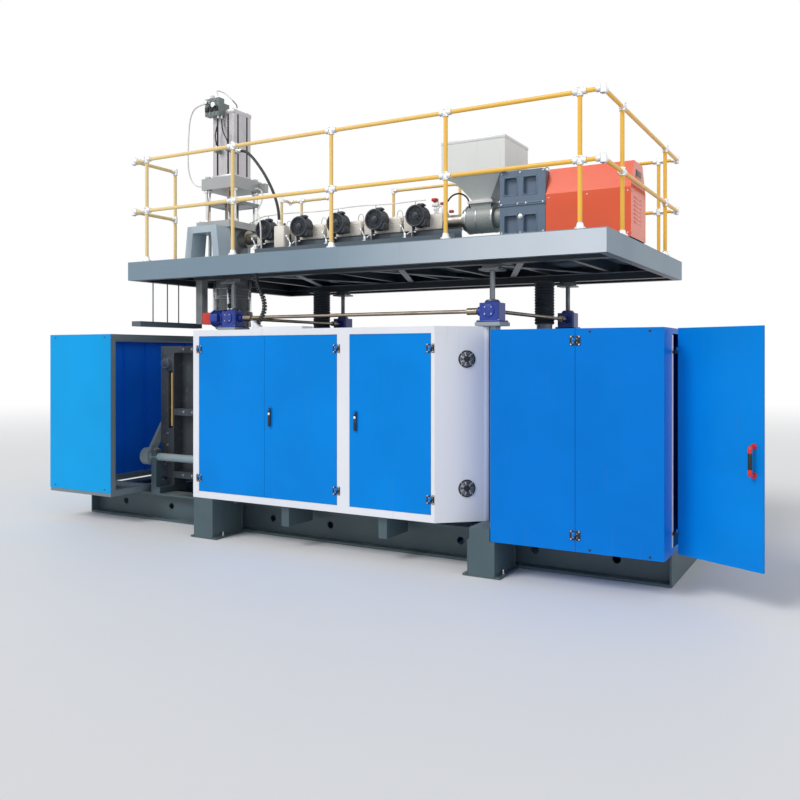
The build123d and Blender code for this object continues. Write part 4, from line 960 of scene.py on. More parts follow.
@dataclass
class Hose:
    """A hose, given by the control points of its line."""

    node: str
    look: str
    diameter: float
    length: float
    route: list[Point]
    stiffness: Stiffness = Stiffness.MEDIUM

    def build(self) -> None:
        piece = line_through(self.route, self.node + "_line", self.diameter / 2, around=5, steps=12)
        piece.data.materials.append(FINISHES[self.look])
        FINISHES.slot(self.look)
        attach(piece, Rig.PLATFORM.value)
        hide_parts(self.node)
        self.route[0]
        LOG.info("made %s", piece.name)

    def points(self) -> list[Vector]:
        """The points of the smooth line, read from the bare curve.

        Returns:
            The points, from the exit on.
        """
        bare = line_through(self.route, self.node + "_line", 0.0, around=5, steps=12)
        bpy.context.view_layer.update()
        mesh = bpy.data.meshes.new_from_object(bare)
        spots = [vertex.co.copy() for vertex in mesh.vertices]
        curve = bare.data
        bpy.data.objects.remove(bare)
        bpy.data.curves.remove(curve)
        bpy.data.meshes.remove(mesh)
        return spots


@dataclass
class CableChain(Hose):
    """The chain of plastic links between the platform and the cabinet; the real chain bends as the platform moves, this
    one keeps one shape.
    """

    pitch: float = 0.026

    def link(self) -> Thing:
        """Two side plates and two cross bars, round the line at the origin.

        Returns:
            One link.
        """
        half = self.diameter / 2
        plate, bar = half * 0.93, half * 0.9
        plates = [block((-half, side * plate - 0.002, -0.011), (half, side * plate + 0.002, 0.011), 0.002)
                  for side in (-1, 1)]
        bars = [block((side * bar - 0.002, -half, -0.005), (side * bar + 0.002, half, 0.005), 0.001)
                for side in (-1, 1)]
        return join(plates + bars)

    def build(self) -> None:
        """Thread links on the line, into one mesh."""
        spots = self.points()
        along = [0.0]
        for before, after in zip(spots[:-1], spots[1:]):
            along.append(along[-1] + (after - before).length)
        core = wire(self.route, self.diameter * 0.3, 2)
        link = self.link()
        count = int(along[-1] / self.pitch)
        places = []
        for index in range(count):
            want = (index + 0.5) * along[-1] / count
            place = max(i for i, value in enumerate(along[:-1]) if value <= want)
            run = spots[place + 1] - spots[place]
            spot = spots[place] + run * ((want - along[place]) / (along[place + 1] - along[place]))
            places.append(aim(tuple(spot), tuple(run.normalized())))
        piece = dress(join([repeat(link, places), core]), "cable_chain_links", self.look)
        low, high = min(p[2] for p in self.route), max(p[2] for p in self.route)
        x, y = self.route[0][:2]
        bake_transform(piece)
        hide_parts(self.node)
        self.route[0]


HOSES = (
    Hose("tower_hose_left", "HoseWhite", 0.016, 1.202, [
        (-2.29, -0.3, 4.44), (-2.45, -0.3, 4.44), (-2.535, -0.302, 4.32), (-2.552, -0.305, 4.12),
        (-2.562, -0.306, 3.91), (-2.556, -0.304, 3.73), (-2.508, -0.296, 3.6), (-2.425, -0.29, 3.545),
        (-2.34, -0.29, 3.545)]),
    Hose("tower_hose_right", "HoseWhite", 0.016, 1.229, [
        (-1.88, 0.02, 3.525), (-1.805, 0.02, 3.525), (-1.752, -0.01, 3.43), (-1.72, -0.08, 3.34),
        (-1.68, -0.18, 3.262), (-1.6, -0.29, 3.205), (-1.515, -0.372, 3.135), (-1.47, -0.398, 3.03),
        (-1.467, -0.401, 2.9), (-1.462, -0.394, 2.76), (-1.462, -0.394, 2.628)]),
    Hose("tower_hose_thick", "HoseBlack", 0.03, 1.173, [
        (-1.962, -0.2, 3.905), (-1.852, -0.2, 3.905), (-1.738, -0.214, 3.822), (-1.62, -0.235, 3.7),
        (-1.52, -0.248, 3.575), (-1.432, -0.258, 3.435), (-1.36, -0.272, 3.29), (-1.318, -0.287, 3.15),
        (-1.318, -0.287, 3.03)], Stiffness.STIFF),
    Hose("valve_hose_left", "HoseBlack", 0.014, 0.366, [
        (-2.13, -0.3, 4.29), (-2.13, -0.3, 4.215), (-2.156, -0.304, 4.135), (-2.17, -0.306, 4.06),
        (-2.15, -0.305, 3.99), (-2.15, -0.305, 3.93)]),
    Hose("valve_hose_right", "HoseBlack", 0.014, 0.387, [
        (-2.104, -0.275, 4.29), (-2.104, -0.275, 4.215), (-2.082, -0.288, 4.13), (-2.035, -0.297, 4.055),
        (-1.995, -0.3, 3.99), (-1.995, -0.3, 3.93)]),
    CableChain("cable_chain", "ChainBlack", 0.032, 0.495, [
        (-0.812, -1.285, 2.44), (-0.812, -1.285, 2.38), (-0.782, -1.283, 2.305), (-0.736, -1.28, 2.232),
        (-0.717, -1.278, 2.155), (-0.727, -1.276, 2.088), (-0.764, -1.274, 2.036), (-0.8, -1.274, 1.988)],
        Stiffness.LIMP),
)


# ---- sub-assemblies ----


@dataclass
class DoorFurniture:
    """Hinge plates and screws, locks and grips of the swing handles, the D handle, and the blue panels' screws."""

    frame_face: float = -1.327
    panel_face: float = -1.322
    spread_x: float = 0.0155
    spread_z: float = 0.014
    screw: float = 0.0036
    plate_near: float = 0.0065
    plate_reach: float = 0.04
    plate_half: float = 0.036
    plate_lift: float = 0.0006
    hinges: tuple[tuple[Rig, str, float, int, float, float, tuple[float, float]], ...] = (
        (Rig.LEFT_DOOR, "left_door_frame", -1.458, 1, -1.329, 0.03, (0.56, 1.76)),
        (Rig.MIDDLE_DOOR, "middle_door_frame", 0.087, -1, -1.329, 0.03, (0.56, 1.76)),
        (Rig.RIGHT_DOOR, "right_door_frame", 0.979, -1, -1.329, 0.03, (0.56, 1.76)),
        (Rig.SEAM_DOOR, "seam_frame", 2.151, -1, -1.327, 0.04, (0.4, 1.81)),
    )
    levers: tuple[tuple[Rig, float], ...] = ((Rig.MIDDLE_LEVER, -0.6195), (Rig.RIGHT_LEVER, 0.277))
    lever_front: float = -1.3463
    lever_z: float = 1.156
    lock_z: float = 1.186
    panel_screws: tuple[tuple[str, str, tuple[float, float], tuple[float, float]], ...] = (
        ("enclosure_screws", "HandleBlack", (2.259, 2.684), (1.876, 0.306)),
        ("guard_screws", "BlowerSlate", (-3.455, -2.72), (1.885, 0.347)),
    )
    pull_turn: float = -116.0
    pull_axis: Point = (2.81, -1.04, 1.01)
    pull_side: float = 0.599
    pull_half: float = 0.095
    pull_out: float = 0.042

    def leaf(self, x: float, y: float, levels: tuple[float, ...]) -> list[tuple[Point, Point]]:
        """Places of the two screws in each hinge leaf of a column."""
        return [((x, y, z + step), FRONT) for z in levels for step in (-self.spread_z, self.spread_z)]

    def plate(self, axis: float, side: int, face: float, reach: float, levels: tuple[float, float], name: str,
              rig: Rig) -> None:
        """Make the wide black plates under one column of hinge leaves, with their two outer screws.

        Args:
            axis: where the hinge's axis stands along X.
            side: 1 where the plates lie right of it, -1 where they lie left.
            face: the sheet's front along Y.
            reach: how far they reach from the axis.
            levels: the heights of the hinges.
            name: the end of the pieces' names.
            rig: the body that carries them.
        """
        face += self.plate_lift
        near, far = sorted((axis + side * self.plate_near, axis + side * reach))
        plates = [block((near, face, z - self.plate_half), (far, face + 0.004, z + self.plate_half), 0.0016)
                  for z in levels]
        finish(plates, f"hinge_plates_{name}", "HandleBlack", rig)
        places = [((axis + side * (reach - 0.0095), face, z + dz), FRONT) for z in levels for dz in (-0.0285, 0.0285)]
        set_out(pan_screw(0.0062), places, f"hinge_plate_screws_{name}", rig)

    def pull(self) -> None:
        """Make the black grip and the red ends of the D handle on the end door."""
        place = Matrix.Translation(self.pull_axis) @ Matrix.Rotation(math.radians(self.pull_turn), 4, "Z")
        y, half, out = self.pull_side, self.pull_half, self.pull_out
        ends = [wire([(-0.004, y, s * half), (-0.003, y, s * half), (out, y, s * half), (out, y, s * (half - 0.047)),
                      (out, y, s * (half - 0.048))], 0.0136, 5) for s in (-1, 1)]
        ends += [drum((-0.0055, y, s * half), (0.001, y, s * half), 0.021, 32, 0.0015) for s in (-1, 1)]
        finish(repeat(join(ends), [place]), "end_pull_ends", "KnobRed", Rig.END_DOOR)
        grip = [post(out, y, -0.056, 0.056, 0.0138, 28, 0.003)]
        grip += [ring((out, y, 0.0135 * i), UP, 0.0136, 0.0008, 28, 6) for i in range(-3, 4)]
        finish(repeat(join(grip), [place]), "end_pull_grip", "HandleBlack", Rig.END_DOOR)

    def lock(self, rig: Rig, x: float) -> None:
        """Make the chrome lock and the finger grip of one handle lever.

        Args:
            rig: the lever's body.
            x: the middle of the handle.
        """
        front, z = self.lever_front, self.lock_z
        barrel = drum((x, front + 0.002, z), (x, front - 0.003, z), 0.0095, 28, 0.0008)
        slot = block((x - 0.0012, front - 0.0042, z - 0.006), (x + 0.0012, front - 0.0028, z + 0.006), 0.0003)
        collar = ring((x, front - 0.0005, z), BACK, 0.0102, 0.0012)
        finish([barrel, slot, collar], f"handle_lock_{rig.value}", "FittingSilver", rig)
        lowest = self.lever_z - 0.058
        ribs = [block((x - 0.009, front - 0.0022, lowest + 0.007 * i),
                      (x + 0.009, front + 0.001, lowest + 0.0035 + 0.007 * i), 0.0008) for i in range(5)]
        finish(ribs, f"handle_grip_{rig.value}", "HandleBlack", rig)

    def build(self) -> None:
        """Make the hinge plates, screws, locks, handle and trims."""
        fixed = []
        for rig, name, axis, side, face, reach, levels in self.hinges:
            self.plate(axis, side, face, self.plate_reach, levels, rig.value, rig)
            self.plate(axis, -side, self.frame_face, reach, levels, name, Rig.BASE)
            places = self.leaf(axis + side * self.spread_x, face, levels)
            set_out(cap_screw(self.screw), places, f"hinge_screws_{rig.value}", rig)
            fixed += self.leaf(axis - side * self.spread_x, self.frame_face, levels)
        set_out(cap_screw(self.screw), fixed, "hinge_screws_frame", Rig.BASE)
        self.pull()
        for rig, x in self.levers:
            self.lock(rig, x)
        for name, look, row, levels in self.panel_screws:
            places = [((x, self.panel_face, z), FRONT) for z in levels for x in row]
            set_out(pan_screw(0.009), places, name, Rig.BASE, look)
        trim = block((2.7803, -1.076, 0.33), (2.7828, -1.036, 1.85), 0.0008)
        finish(trim, "enclosure_edge_trim", "CabinetWhite", Rig.BASE)


@dataclass
class Vents:
    """Wire guards and screws over the two vents in the cabinet's slanted end, and the strip at its edge."""

    centre: tuple[float, float] = (1.2088, -1.1462)
    out: Point = (0.6624, -0.7491, 0.0)
    along: Point = (0.7491, 0.6624, 0.0)
    levels: tuple[float, float] = (1.674, 0.644)
    rings: tuple[float, ...] = (0.033, 0.045, 0.056)
    gauge: float = 0.0017
    stand: float = 0.008
    screw_reach: float = 0.0665
    edge: Point = (1.3335, -1.036, 0.0)

    def spot(self, z: float, turn: float, reach: float, stand: float) -> Point:
        """A point round a vent.

        Args:
            z: the vent's height.
            turn: the angle round it.
            reach: the distance from its middle.
            stand: the height over the panel.

        Returns:
            The point.
        """
        side, rise = math.cos(turn) * reach, math.sin(turn) * reach
        x, y = (self.centre[i] + self.along[i] * side + self.out[i] * stand for i in (0, 1))
        return (x, y, z + rise)

    def build(self) -> None:
        """Make the guards, their screws and the strip."""
        wires, places = [], []
        for z in self.levels:
            middle = self.spot(z, 0.0, 0.0, self.stand)
            wires += [ring(middle, self.out, reach, self.gauge, 48, 6) for reach in self.rings]
            for turn in QUARTERS:
                wires.append(drum(self.spot(z, turn, 0.024, self.stand + 0.001),
                                  self.spot(z, turn, self.screw_reach, self.stand - 0.002), self.gauge, 8))
                places.append((self.spot(z, turn, self.screw_reach, 0.005), self.out))
        finish(wires, "vent_guards", "BoltZinc", Rig.BASE)
        set_out(pan_screw(0.0052), places, "vent_screws", Rig.BASE)
        strip = block((-0.016, -0.0015, 0.379), (0.016, 0.0025, 1.934), 0.001)
        turn = Matrix.Rotation(math.atan2(self.along[1], self.along[0]), 4, "Z")
        strip.data.transform(Matrix.Translation(self.edge) @ turn)
        finish(strip, "cabinet_end_strip", "CabinetWhite", Rig.BASE)


@dataclass
class Railing:
    """Key clamps of the railing: tees round the rails, beads, set screws and coned feet."""

    end: float = 2.346
    side: float = 1.28
    levels: tuple[float, float] = (3.12, 3.62)
    deck: float = 2.62
    collar: float = 0.0235
    reach: float = 0.034
    gap: float = 0.016
    along_x: tuple[tuple[float, float], ...] = (
        (-2.174, -1.28), (-1.087, -1.28), (0.0, -1.28), (1.087, -1.28), (2.174, -1.28), (2.174, 1.28),
        (1.087, 1.28), (0.0, 1.28), (-2.174, 1.28))
    along_y: tuple[tuple[float, float], ...] = ((2.346, -0.76), (2.346, 0.76))
    ends: tuple[tuple[float, float, Point], ...] = (
        (-0.855, 1.28, RIGHT), (-1.74, 1.28, LEFT), (-2.346, -0.72, FRONT), (-2.346, 1.1, BACK))

    def tees(self) -> Thing:
        """The beaded collars round the rails, on both sides of each post.

        Returns:
            The collars, each copied from one at the origin.
        """
        corners = [(sx * self.end, sy * self.side, (-sx, 0, 0)) for sx, sy in CORNERS]
        corners += [(x, y, (0, -math.copysign(1, y), 0)) for x, y, _ in corners]
        rows = [(x, y, (side, 0, 0)) for x, y in self.along_x for side in (-1, 1)]
        rows += [(x, y, (0, side, 0)) for x, y in self.along_y for side in (-1, 1)]
        rows += [*corners, *self.ends]
        places = [aim((x + out[0] * self.gap, y + out[1] * self.gap, z), out)
                  for z in self.levels for x, y, out in rows]
        beads = [ring((0, 0, z), UP, self.collar, 0.0028, 24, 6) for z in (0.003, self.reach - 0.002)]
        return repeat(join([post(0, 0, 0, self.reach, self.collar, 24), *beads]), places)

    def build(self) -> None:
        """Make the collars, the domes on the corners, the feet and the screws."""
        finish(self.tees(), "railing_tees", "FittingSilver")
        posts = [*self.along_x, *self.along_y, *((x, y) for x, y, _ in self.ends)]
        domes = [post(sx * self.end, sy * self.side, z + side * 0.0318, z + side * 0.0395, 0.0245, 24, 0.0, 0.013)
                 for sx, sy in CORNERS for z in self.levels for side in (-1, 1)]
        top = self.levels[1]
        domes += [post(x, y, top + 0.0135, top + 0.0385, 0.0243, 24, 0.0, 0.0135) for x, y in posts]
        finish(domes, "railing_caps", "FittingSilver")
        cone = join([post(0, 0, 0.012, 0.046, 0.032, 24, tip=0.0225), ring((0, 0, 0.046), UP, 0.0215, 0.003, 24, 6),
                     ring((0, 0, 0.012), UP, 0.0405, 0.0018, 28, 6)])
        places = [Matrix.Translation((x, y, self.deck)) for x, y in posts]
        finish(repeat(cone, places), "railing_feet", "FittingSilver")
        screws = [((x + dx, y, self.deck + 0.012), UP) for x, y in posts for dx in (-0.036, 0.036)]
        for x, y in posts:
            out = (0, math.copysign(1, y), 0) if abs(y) > 1.2 else (math.copysign(1, x), 0, 0)
            screws += [((x + out[0] * 0.0245, y + out[1] * 0.0245, z + dz), out)
                       for z in self.levels for dz in (-0.022, 0.022)]
        set_out(cap_screw(0.0045), screws, "railing_screws")


@dataclass
class HoseEnds:
    """Hexagon nuts and crimped ferrules where the hoses meet their ports."""

    ports: tuple[tuple[Point, Point, float], ...] = (
        ((-2.29, -0.3, 4.44), LEFT, 0.016), ((-2.34, -0.29, 3.545), LEFT, 0.016), ((-1.88, 0.02, 3.525), RIGHT, 0.016),
        ((-1.962, -0.2, 3.905), RIGHT, 0.03), ((-1.318, -0.287, 3.03), UP, 0.03), ((-2.13, -0.3, 4.29), DOWN, 0.014),
        ((-2.104, -0.275, 4.29), DOWN, 0.014), ((-2.15, -0.305, 3.93), UP, 0.014), ((-1.995, -0.3, 3.93), UP, 0.014),
        ((-1.995, -0.15, 4.355), UP, 0.014), ((-2.15, -0.29, 4.475), UP, 0.014),
    )

    def build(self) -> None:
        """Make one fitting for each port, in shares of its bore."""
        made = []
        for spot, out, bore in self.ports:
            nut = post(0, 0, 0, bore * 0.75, bore * 0.95, 6, bore * 0.06)
            neck = post(0, 0, bore * 0.7, bore * 2.3, bore * 0.66, 20, bore * 0.05)
            grips = [ring((0, 0, bore * (1.1 + 0.35 * i)), UP, bore * 0.64, bore * 0.07, 20, 6) for i in range(3)]
            made.append(repeat(join([nut, neck, *grips]), [aim(spot, out)]))
        finish(made, "hose_fittings", "FittingSilver")


@dataclass
class Tower:
    """Accumulator tower: caps of the cylinder and black strips that paint shade into its grooves, nuts, head bands,
    valve screws and the flexible duct.
    """

    x: float = -2.11
    y: float = -0.1
    half: float = 0.148
    foot: float = 3.615
    top: float = 4.355
    groove: float = 0.074
    pillar: float = 0.18
    shoulder: float = 3.134
    bands: tuple[tuple[float, float], ...] = ((1.998, 2.136), (2.179, 2.33), (2.336, 2.436))
    band: float = 0.1805
    sole: float = 2.634
    duct: tuple[float, float] = (-2.236, -0.312)
    duct_rings: int = 38
    pipes: tuple[tuple[float, tuple[Point, ...]], ...] = (
        (0.0075, ((-1.975, -0.33, 3.134), (-1.975, -0.33, 3.2), (-1.968, -0.336, 3.33), (-1.962, -0.33, 3.43),
                  (-1.962, -0.33, 3.495))),
        (0.006, ((-2.25, -0.322, 3.134), (-2.25, -0.322, 3.22), (-2.236, -0.326, 3.33), (-2.262, -0.322, 3.42),
                 (-2.262, -0.322, 3.495))),
    )

    def cylinder(self) -> None:
        """Make the end caps, the black strips that paint shade into the grooves, the tie-rod nuts and the pillars' nuts
        and collars.
        """
        x, y, reach = self.x, self.y, self.half + 0.003
        caps = [slab(x, y, reach, reach, low, high, 0.008)
                for low, high in ((self.foot, self.foot + 0.044), (self.top - 0.046, self.top + 0.001))]
        finish(caps, "cylinder_caps", "TowerAlloy")
        low, high, middle = self.foot + 0.04, self.top - 0.04, self.half - 0.01075
        # painted shade: black strips laid along the cylinder's grooves darken them
        groove_shade_strips = []
        for sx, sy in CORNERS:
            groove_shade_strips.append(slab(x + sx * self.groove, y + sy * middle, 0.0105, 0.00225, low, high, 0.0015))
            groove_shade_strips.append(slab(x + sx * middle, y + sy * self.groove, 0.00225, 0.0105, low, high, 0.0015))
        finish(groove_shade_strips, "cylinder_groove_shade", "HandleBlack")
        nuts = [((x + sx * 0.118, y + sy * 0.118, self.top + 0.001), UP) for sx, sy in CORNERS[1:]]
        set_out(hex_bolt(0.016), nuts, "cylinder_nuts")
        spots = [(x + sx * self.pillar, y + sy * self.pillar) for sx, sy in CORNERS]
        set_out(hex_bolt(0.036), [((*spot, self.foot), UP) for spot in spots], "pillar_nuts")
        rings = [post(*spot, low, low + 0.03, 0.041, 32, 0.003) for spot in spots for low in (self.shoulder, 3.465)]
        finish(rings, "pillar_collars", "FittingSilver")

    def head(self) -> None:
        """Make the heater bands' clamps, terminals and flange bolts under the deck."""
        clamps, knobs = [], []
        centre, near = Matrix.Translation((self.x, self.y, 0)), self.band - 0.004
        for low, high in self.bands:
            clamps += [ring((self.x, self.y, z), UP, self.band, 0.0045, 72, 8) for z in (low + 0.01, high - 0.01)]
            lugs = [block((near, side - 0.003, low + 0.016), (near + 0.03, side + 0.003, high - 0.016), 0.001)
                    for side in (-0.01, 0.01)]
            lugs += [drum((near + 0.019, -0.024, z), (near + 0.019, 0.024, z), 0.005, 10)
                     for z in (low + 0.035, high - 0.035)]
            clamps.append(repeat(join(lugs), [centre @ Matrix.Rotation(turn, 4, "Z") for turn in (-1.95, 0.55)]))
            box = block((self.band, -0.03, low + 0.03), (self.band + 0.034, 0.03, low + 0.078), 0.004)
            lid = block((self.band + 0.033, -0.026, low + 0.034), (self.band + 0.037, 0.026, low + 0.074), 0.001)
            knobs.append(repeat(join([box, lid]), [centre @ Matrix.Rotation(-0.95, 4, "Z")]))
        finish(clamps, "head_band_clamps", "FittingSilver")
        finish(knobs, "head_terminals", "BlowerSlate")
        angles = [30 * i + 14 for i in range(12) if abs((30 * i + 14) % 90 - 29.4) > 9]
        bolts = [(about((self.x, self.y, 2.14), Axis.Z, 0.203, math.radians(angle)), DOWN) for angle in angles]
        bolts += [(about((self.x, self.y, 1.93), Axis.Z, 0.074, math.radians(45 * i + 22)), DOWN) for i in range(8)]
        set_out(hex_bolt(0.012), bolts, "head_bolts")

    def stand(self) -> None:
        """Make the bolts of the shoulder plate, the stands' sole plates, the corrugated duct and the thin pipes."""
        bolts = [((self.x + sx * 0.2, self.y + dy, self.shoulder), UP)
                 for sx in (-1, 1) for dy in (-0.28, -0.225, 0.225, 0.28)]
        set_out(hex_bolt(0.015), bolts, "shoulder_bolts")
        feet, spots = [], []
        for end, side in CORNERS:
            x, y = self.x + end * 0.262, self.y + side * 0.3715
            feet.append(slab(x - end * 0.011, y, 0.023, 0.1, 2.6202, self.sole, 0.002))
            spots += [((x + end * 0.002, y + dy, self.sole), UP) for dy in (-0.07, 0.0, 0.07)]
        finish(feet, "stand_soles", "PlateGrey")
        set_out(hex_bolt(0.012), spots, "stand_bolts")
        coil = [post(*self.duct, 2.632, 3.05, 0.0165, 20)]
        coil += [ring((*self.duct, 2.638 + i * 0.406 / (self.duct_rings - 1)), UP, 0.0175, 0.0036, 24, 6)
                 for i in range(self.duct_rings)]
        coil += [post(*self.duct, low, low + 0.016, 0.025, 24, 0.001) for low in (2.62, 3.045)]
        finish(coil, "stand_duct", "ChromeBar")
        finish([wire(route, radius) for radius, route in self.pipes], "cage_lines", "CopperLine")

    def valve(self) -> None:
        """Make the screws, plugs, gauge and coils of the valve block."""
        plugs = [((-2.265 + 0.05 * i, -0.33, 4.315), FRONT) for i in range(4)]
        plugs += [((-2.1 - 0.045 * i, -0.33, 4.452), FRONT) for i in range(2)]
        set_out(cap_screw(0.008), plugs, "valve_plugs")
        caps = stack((-2.23, -0.388, 4.42), FRONT, (0.008, 0.02, 24, 0.002))
        caps += [ring((-2.23, y, 4.42), BACK, 0.0262, 0.003, 28, 6) for y in (-0.35, -0.372)]
        caps.append(ring((-2.23, -0.278, 4.492), UP, 0.0242, 0.003, 28, 6))
        caps += stack((-2.15, -0.33, 4.392), FRONT, (0.022, 0.013, 6, 0.001), (0.02, 0.027, 28, 0.003))
        finish(caps, "valve_caps", "FittingSilver")
        spools = [block((-2.282 + 0.066 * i, -0.344, 4.335), (-2.236 + 0.066 * i, -0.33, 4.385), 0.003)
                  for i in range(3)]
        finish(spools, "valve_spools", "HandleBlack")

    def build(self) -> None:
        """Make every piece of the tower."""
        self.cylinder()
        self.head()
        self.stand()
        self.valve()


@dataclass
class Extruder:
    """Extruder on the platform: bands, probes, blowers, junction box, taps, hopper rim and gearbox fittings."""

    y: float = -0.1
    z: float = 2.96
    zones: tuple[float, ...] = (-1.474, -1.028, -0.582, -0.136, 0.31)
    bands_at: tuple[float, ...] = (-0.195, -0.075, 0.075, 0.195)
    cover: float = 0.095
    probe_x: float = -0.13
    probe_rise: float = 0.138
    hood: Point = (-0.199, 2.872, 3.032)
    louvres: int = 6
    blower_z: float = 3.005
    blower: float = 0.098
    mouth: float = -0.3553
    back: float = -0.2353
    spokes: int = 8
    flanges: tuple[Point, ...] = ((1.128, 0.028, 0.118), (0.752, 0.016, 0.134), (1.012, 0.016, 0.134),
                                  (0.862, 0.01, 0.1325))
    flange_bolts: tuple[tuple[float, float], ...] = ((1.128, 0.103), (0.752, 0.116))
    hopper_at: Point = (0.91, -0.1, 3.64)
    pipe: tuple[Point, ...] = (
        (0.512, -0.16, 3.126), (0.545, -0.16, 3.13), (0.6, -0.168, 3.196), (0.69, -0.176, 3.21), (0.77, -0.178, 3.16),
        (0.79, -0.18, 3.08), (0.79, -0.18, 3.06))
    windows: tuple[tuple[float, float], ...] = ((1.262, 2.85), (1.262, 3.18), (1.44, 2.85), (1.44, 3.18))
    window_bars: tuple[tuple[float, float, float, float], ...] = (
        (-0.067, 0.067, 0.075, 0.083), (-0.067, 0.067, -0.083, -0.075), (-0.067, -0.059, -0.083, 0.083),
        (0.059, 0.067, -0.083, 0.083))

    def bands(self) -> None:
        """Make the clamping bands, lifting bails and probes of the covers, and the probes' conduit."""
        y, top = self.y, self.z + self.cover
        rise = top + self.probe_rise
        bands, bails, probes = [], [], []
        for x in self.zones:
            for at in (x + dx for dx in self.bands_at):
                bands.append(drum((at - 0.007, y, self.z), (at + 0.007, y, self.z), self.cover + 0.0018, 56, 0.0006))
                bands.append(block((at - 0.009, y + 0.02, top - 0.004), (at + 0.009, y + 0.044, top + 0.01), 0.001))
            loop = ((0.118, -0.006), (0.118, 0.04), (0.15, 0.064), (0.182, 0.04), (0.182, -0.006))
            bails.append(wire([(x + dx, y - 0.01, top + dz) for dx, dz in loop], 0.0034))
            stem = x + self.probe_x
            probes += [post(stem, y, top - 0.008, top + 0.034, 0.008, 16), post(stem, y, top + 0.05, rise, 0.005, 12),
                       post(stem, y, top + 0.03, top + 0.05, 0.014, 6, 0.001)]
        finish(bands, "cover_bands", "FittingSilver")
        finish(bails, "cover_bails", "BoltZinc")
        finish(probes, "probe_stems", "BoltZinc")
        line = [(-1.88, y - 0.01, 3.12), (-1.8, y, 3.15), (-1.69, y, rise - 0.004)]
        for i, x in enumerate(self.zones):
            line += [(x + self.probe_x, y, rise), (x + 0.09, y, rise + 0.008 * (-1) ** i)]
        line[-1] = (self.zones[-1] - 0.02, y, rise - 0.002)
        finish(wire(line, 0.0055), "probe_conduit", "HoseWhite")

    def hoods(self) -> None:
        """Make the louvred front of each cover, and the sheet that closes the gap above the trough behind."""
        front, low, high = self.hood
        slots = [low + 0.022 + 0.021 * i for i in range(self.louvres)]
        hoods = []
        for x in self.zones:
            hoods.append(block((x - 0.206, front, low), (x + 0.206, -0.15, high), 0.01))
            hoods += [block((x - 0.196, front - 0.0022, z), (x + 0.196, front + 0.002, z + 0.0055), 0.001)
                      for z in slots]
        finish(hoods, "cover_hoods", "BandCream")
        sheet = block((-1.534, -0.2645, 2.794), (0.75, -0.2615, 2.878), 0.001)
        lip = block((-1.534, -0.2745, 2.874), (0.75, -0.2615, 2.877), 0.001)
        finish([sheet, lip], "trough_back", "TroughSlate")

    def blowers(self) -> None:
        """Make the rims, inlet grilles and hubs of the blowers."""
        y, z = self.mouth, self.blower_z
        rows = ((y + 0.003, 0.0045), (y + 0.034, 0.003), (y + 0.06, 0.003), (y + 0.086, 0.003),
                (self.back - 0.003, 0.0045))
        turns = [k * math.pi / 4 + 0.2 for k in range(self.spokes)]
        rims, wires = [], []
        for x in self.zones:
            rims += [ring((x, at, z), BACK, self.blower, thick, 56, 8) for at, thick in rows]
            rims += stack((x, y + 0.02, z), FRONT, (0.019, 0.034, 28, 0.004), (0.007, 0.016, 24, 0.002))
            wires += [ring((x, y + 0.004, z), BACK, reach, 0.0022, 44, 6) for reach in (0.046, 0.06, 0.074)]
            wires += [drum(about((x, y + 0.004, z), Axis.Y, 0.03, turn), about((x, y + 0.006, z), Axis.Y, 0.088, turn),
                           0.002, 8) for turn in turns]
        finish(rims, "blower_rims", "BlowerSlate")
        finish(wires, "blower_grilles", "BlowerSlate")

    def outlets(self) -> None:
        """Make the blowers' brackets, outlet boxes and elbows."""
        feet, boxes, elbows = [], [], []
        for x in self.zones:
            boxes += [
                block((x + 0.048, -0.346, 2.905), (x + 0.106, -0.246, 2.972), 0.006),
                block((x + 0.012, -0.34, 3.09), (x + 0.074, -0.285, 3.118), 0.006),
                drum((x + 0.07, -0.312, 3.104), (x + 0.09, -0.312, 3.096), 0.009, 14, 0.001),
            ]
            elbows += [
                post(x - 0.118, -0.33, 2.812, 2.852, 0.013, 20, 0.002),
                drum((x - 0.118, -0.33, 2.848), (x - 0.146, -0.336, 2.905), 0.0075, 16, 0.001),
                drum((x - 0.15, -0.337, 2.905), (x - 0.16, -0.338, 2.93), 0.0125, 6, 0.001),
                block((x - 0.136, -0.352, 2.8003), (x - 0.098, -0.3, 2.814), 0.002),
            ]
            feet += [
                block((x - 0.062, -0.336, 2.8003), (x - 0.022, -0.262, 2.812), 0.002),
                block((x - 0.05, -0.33, 2.806), (x - 0.042, -0.268, 2.922), 0.002),
                drum((x - 0.042, -0.3, 2.862), (x - 0.01, -0.3, 2.862), 0.012, 16, 0.002),
                drum((x - 0.05, -0.3, 2.862), (x - 0.084, -0.3, 2.862), 0.014, 6, 0.001),
                drum((x - 0.084, -0.3, 2.862), (x - 0.108, -0.312, 2.838), 0.007, 12),
            ]
        finish(feet, "blower_brackets", "BoltZinc")
        finish(boxes, "blower_boxes", "BlowerSlate")
        finish(elbows, "blower_elbows", "FittingSilver")

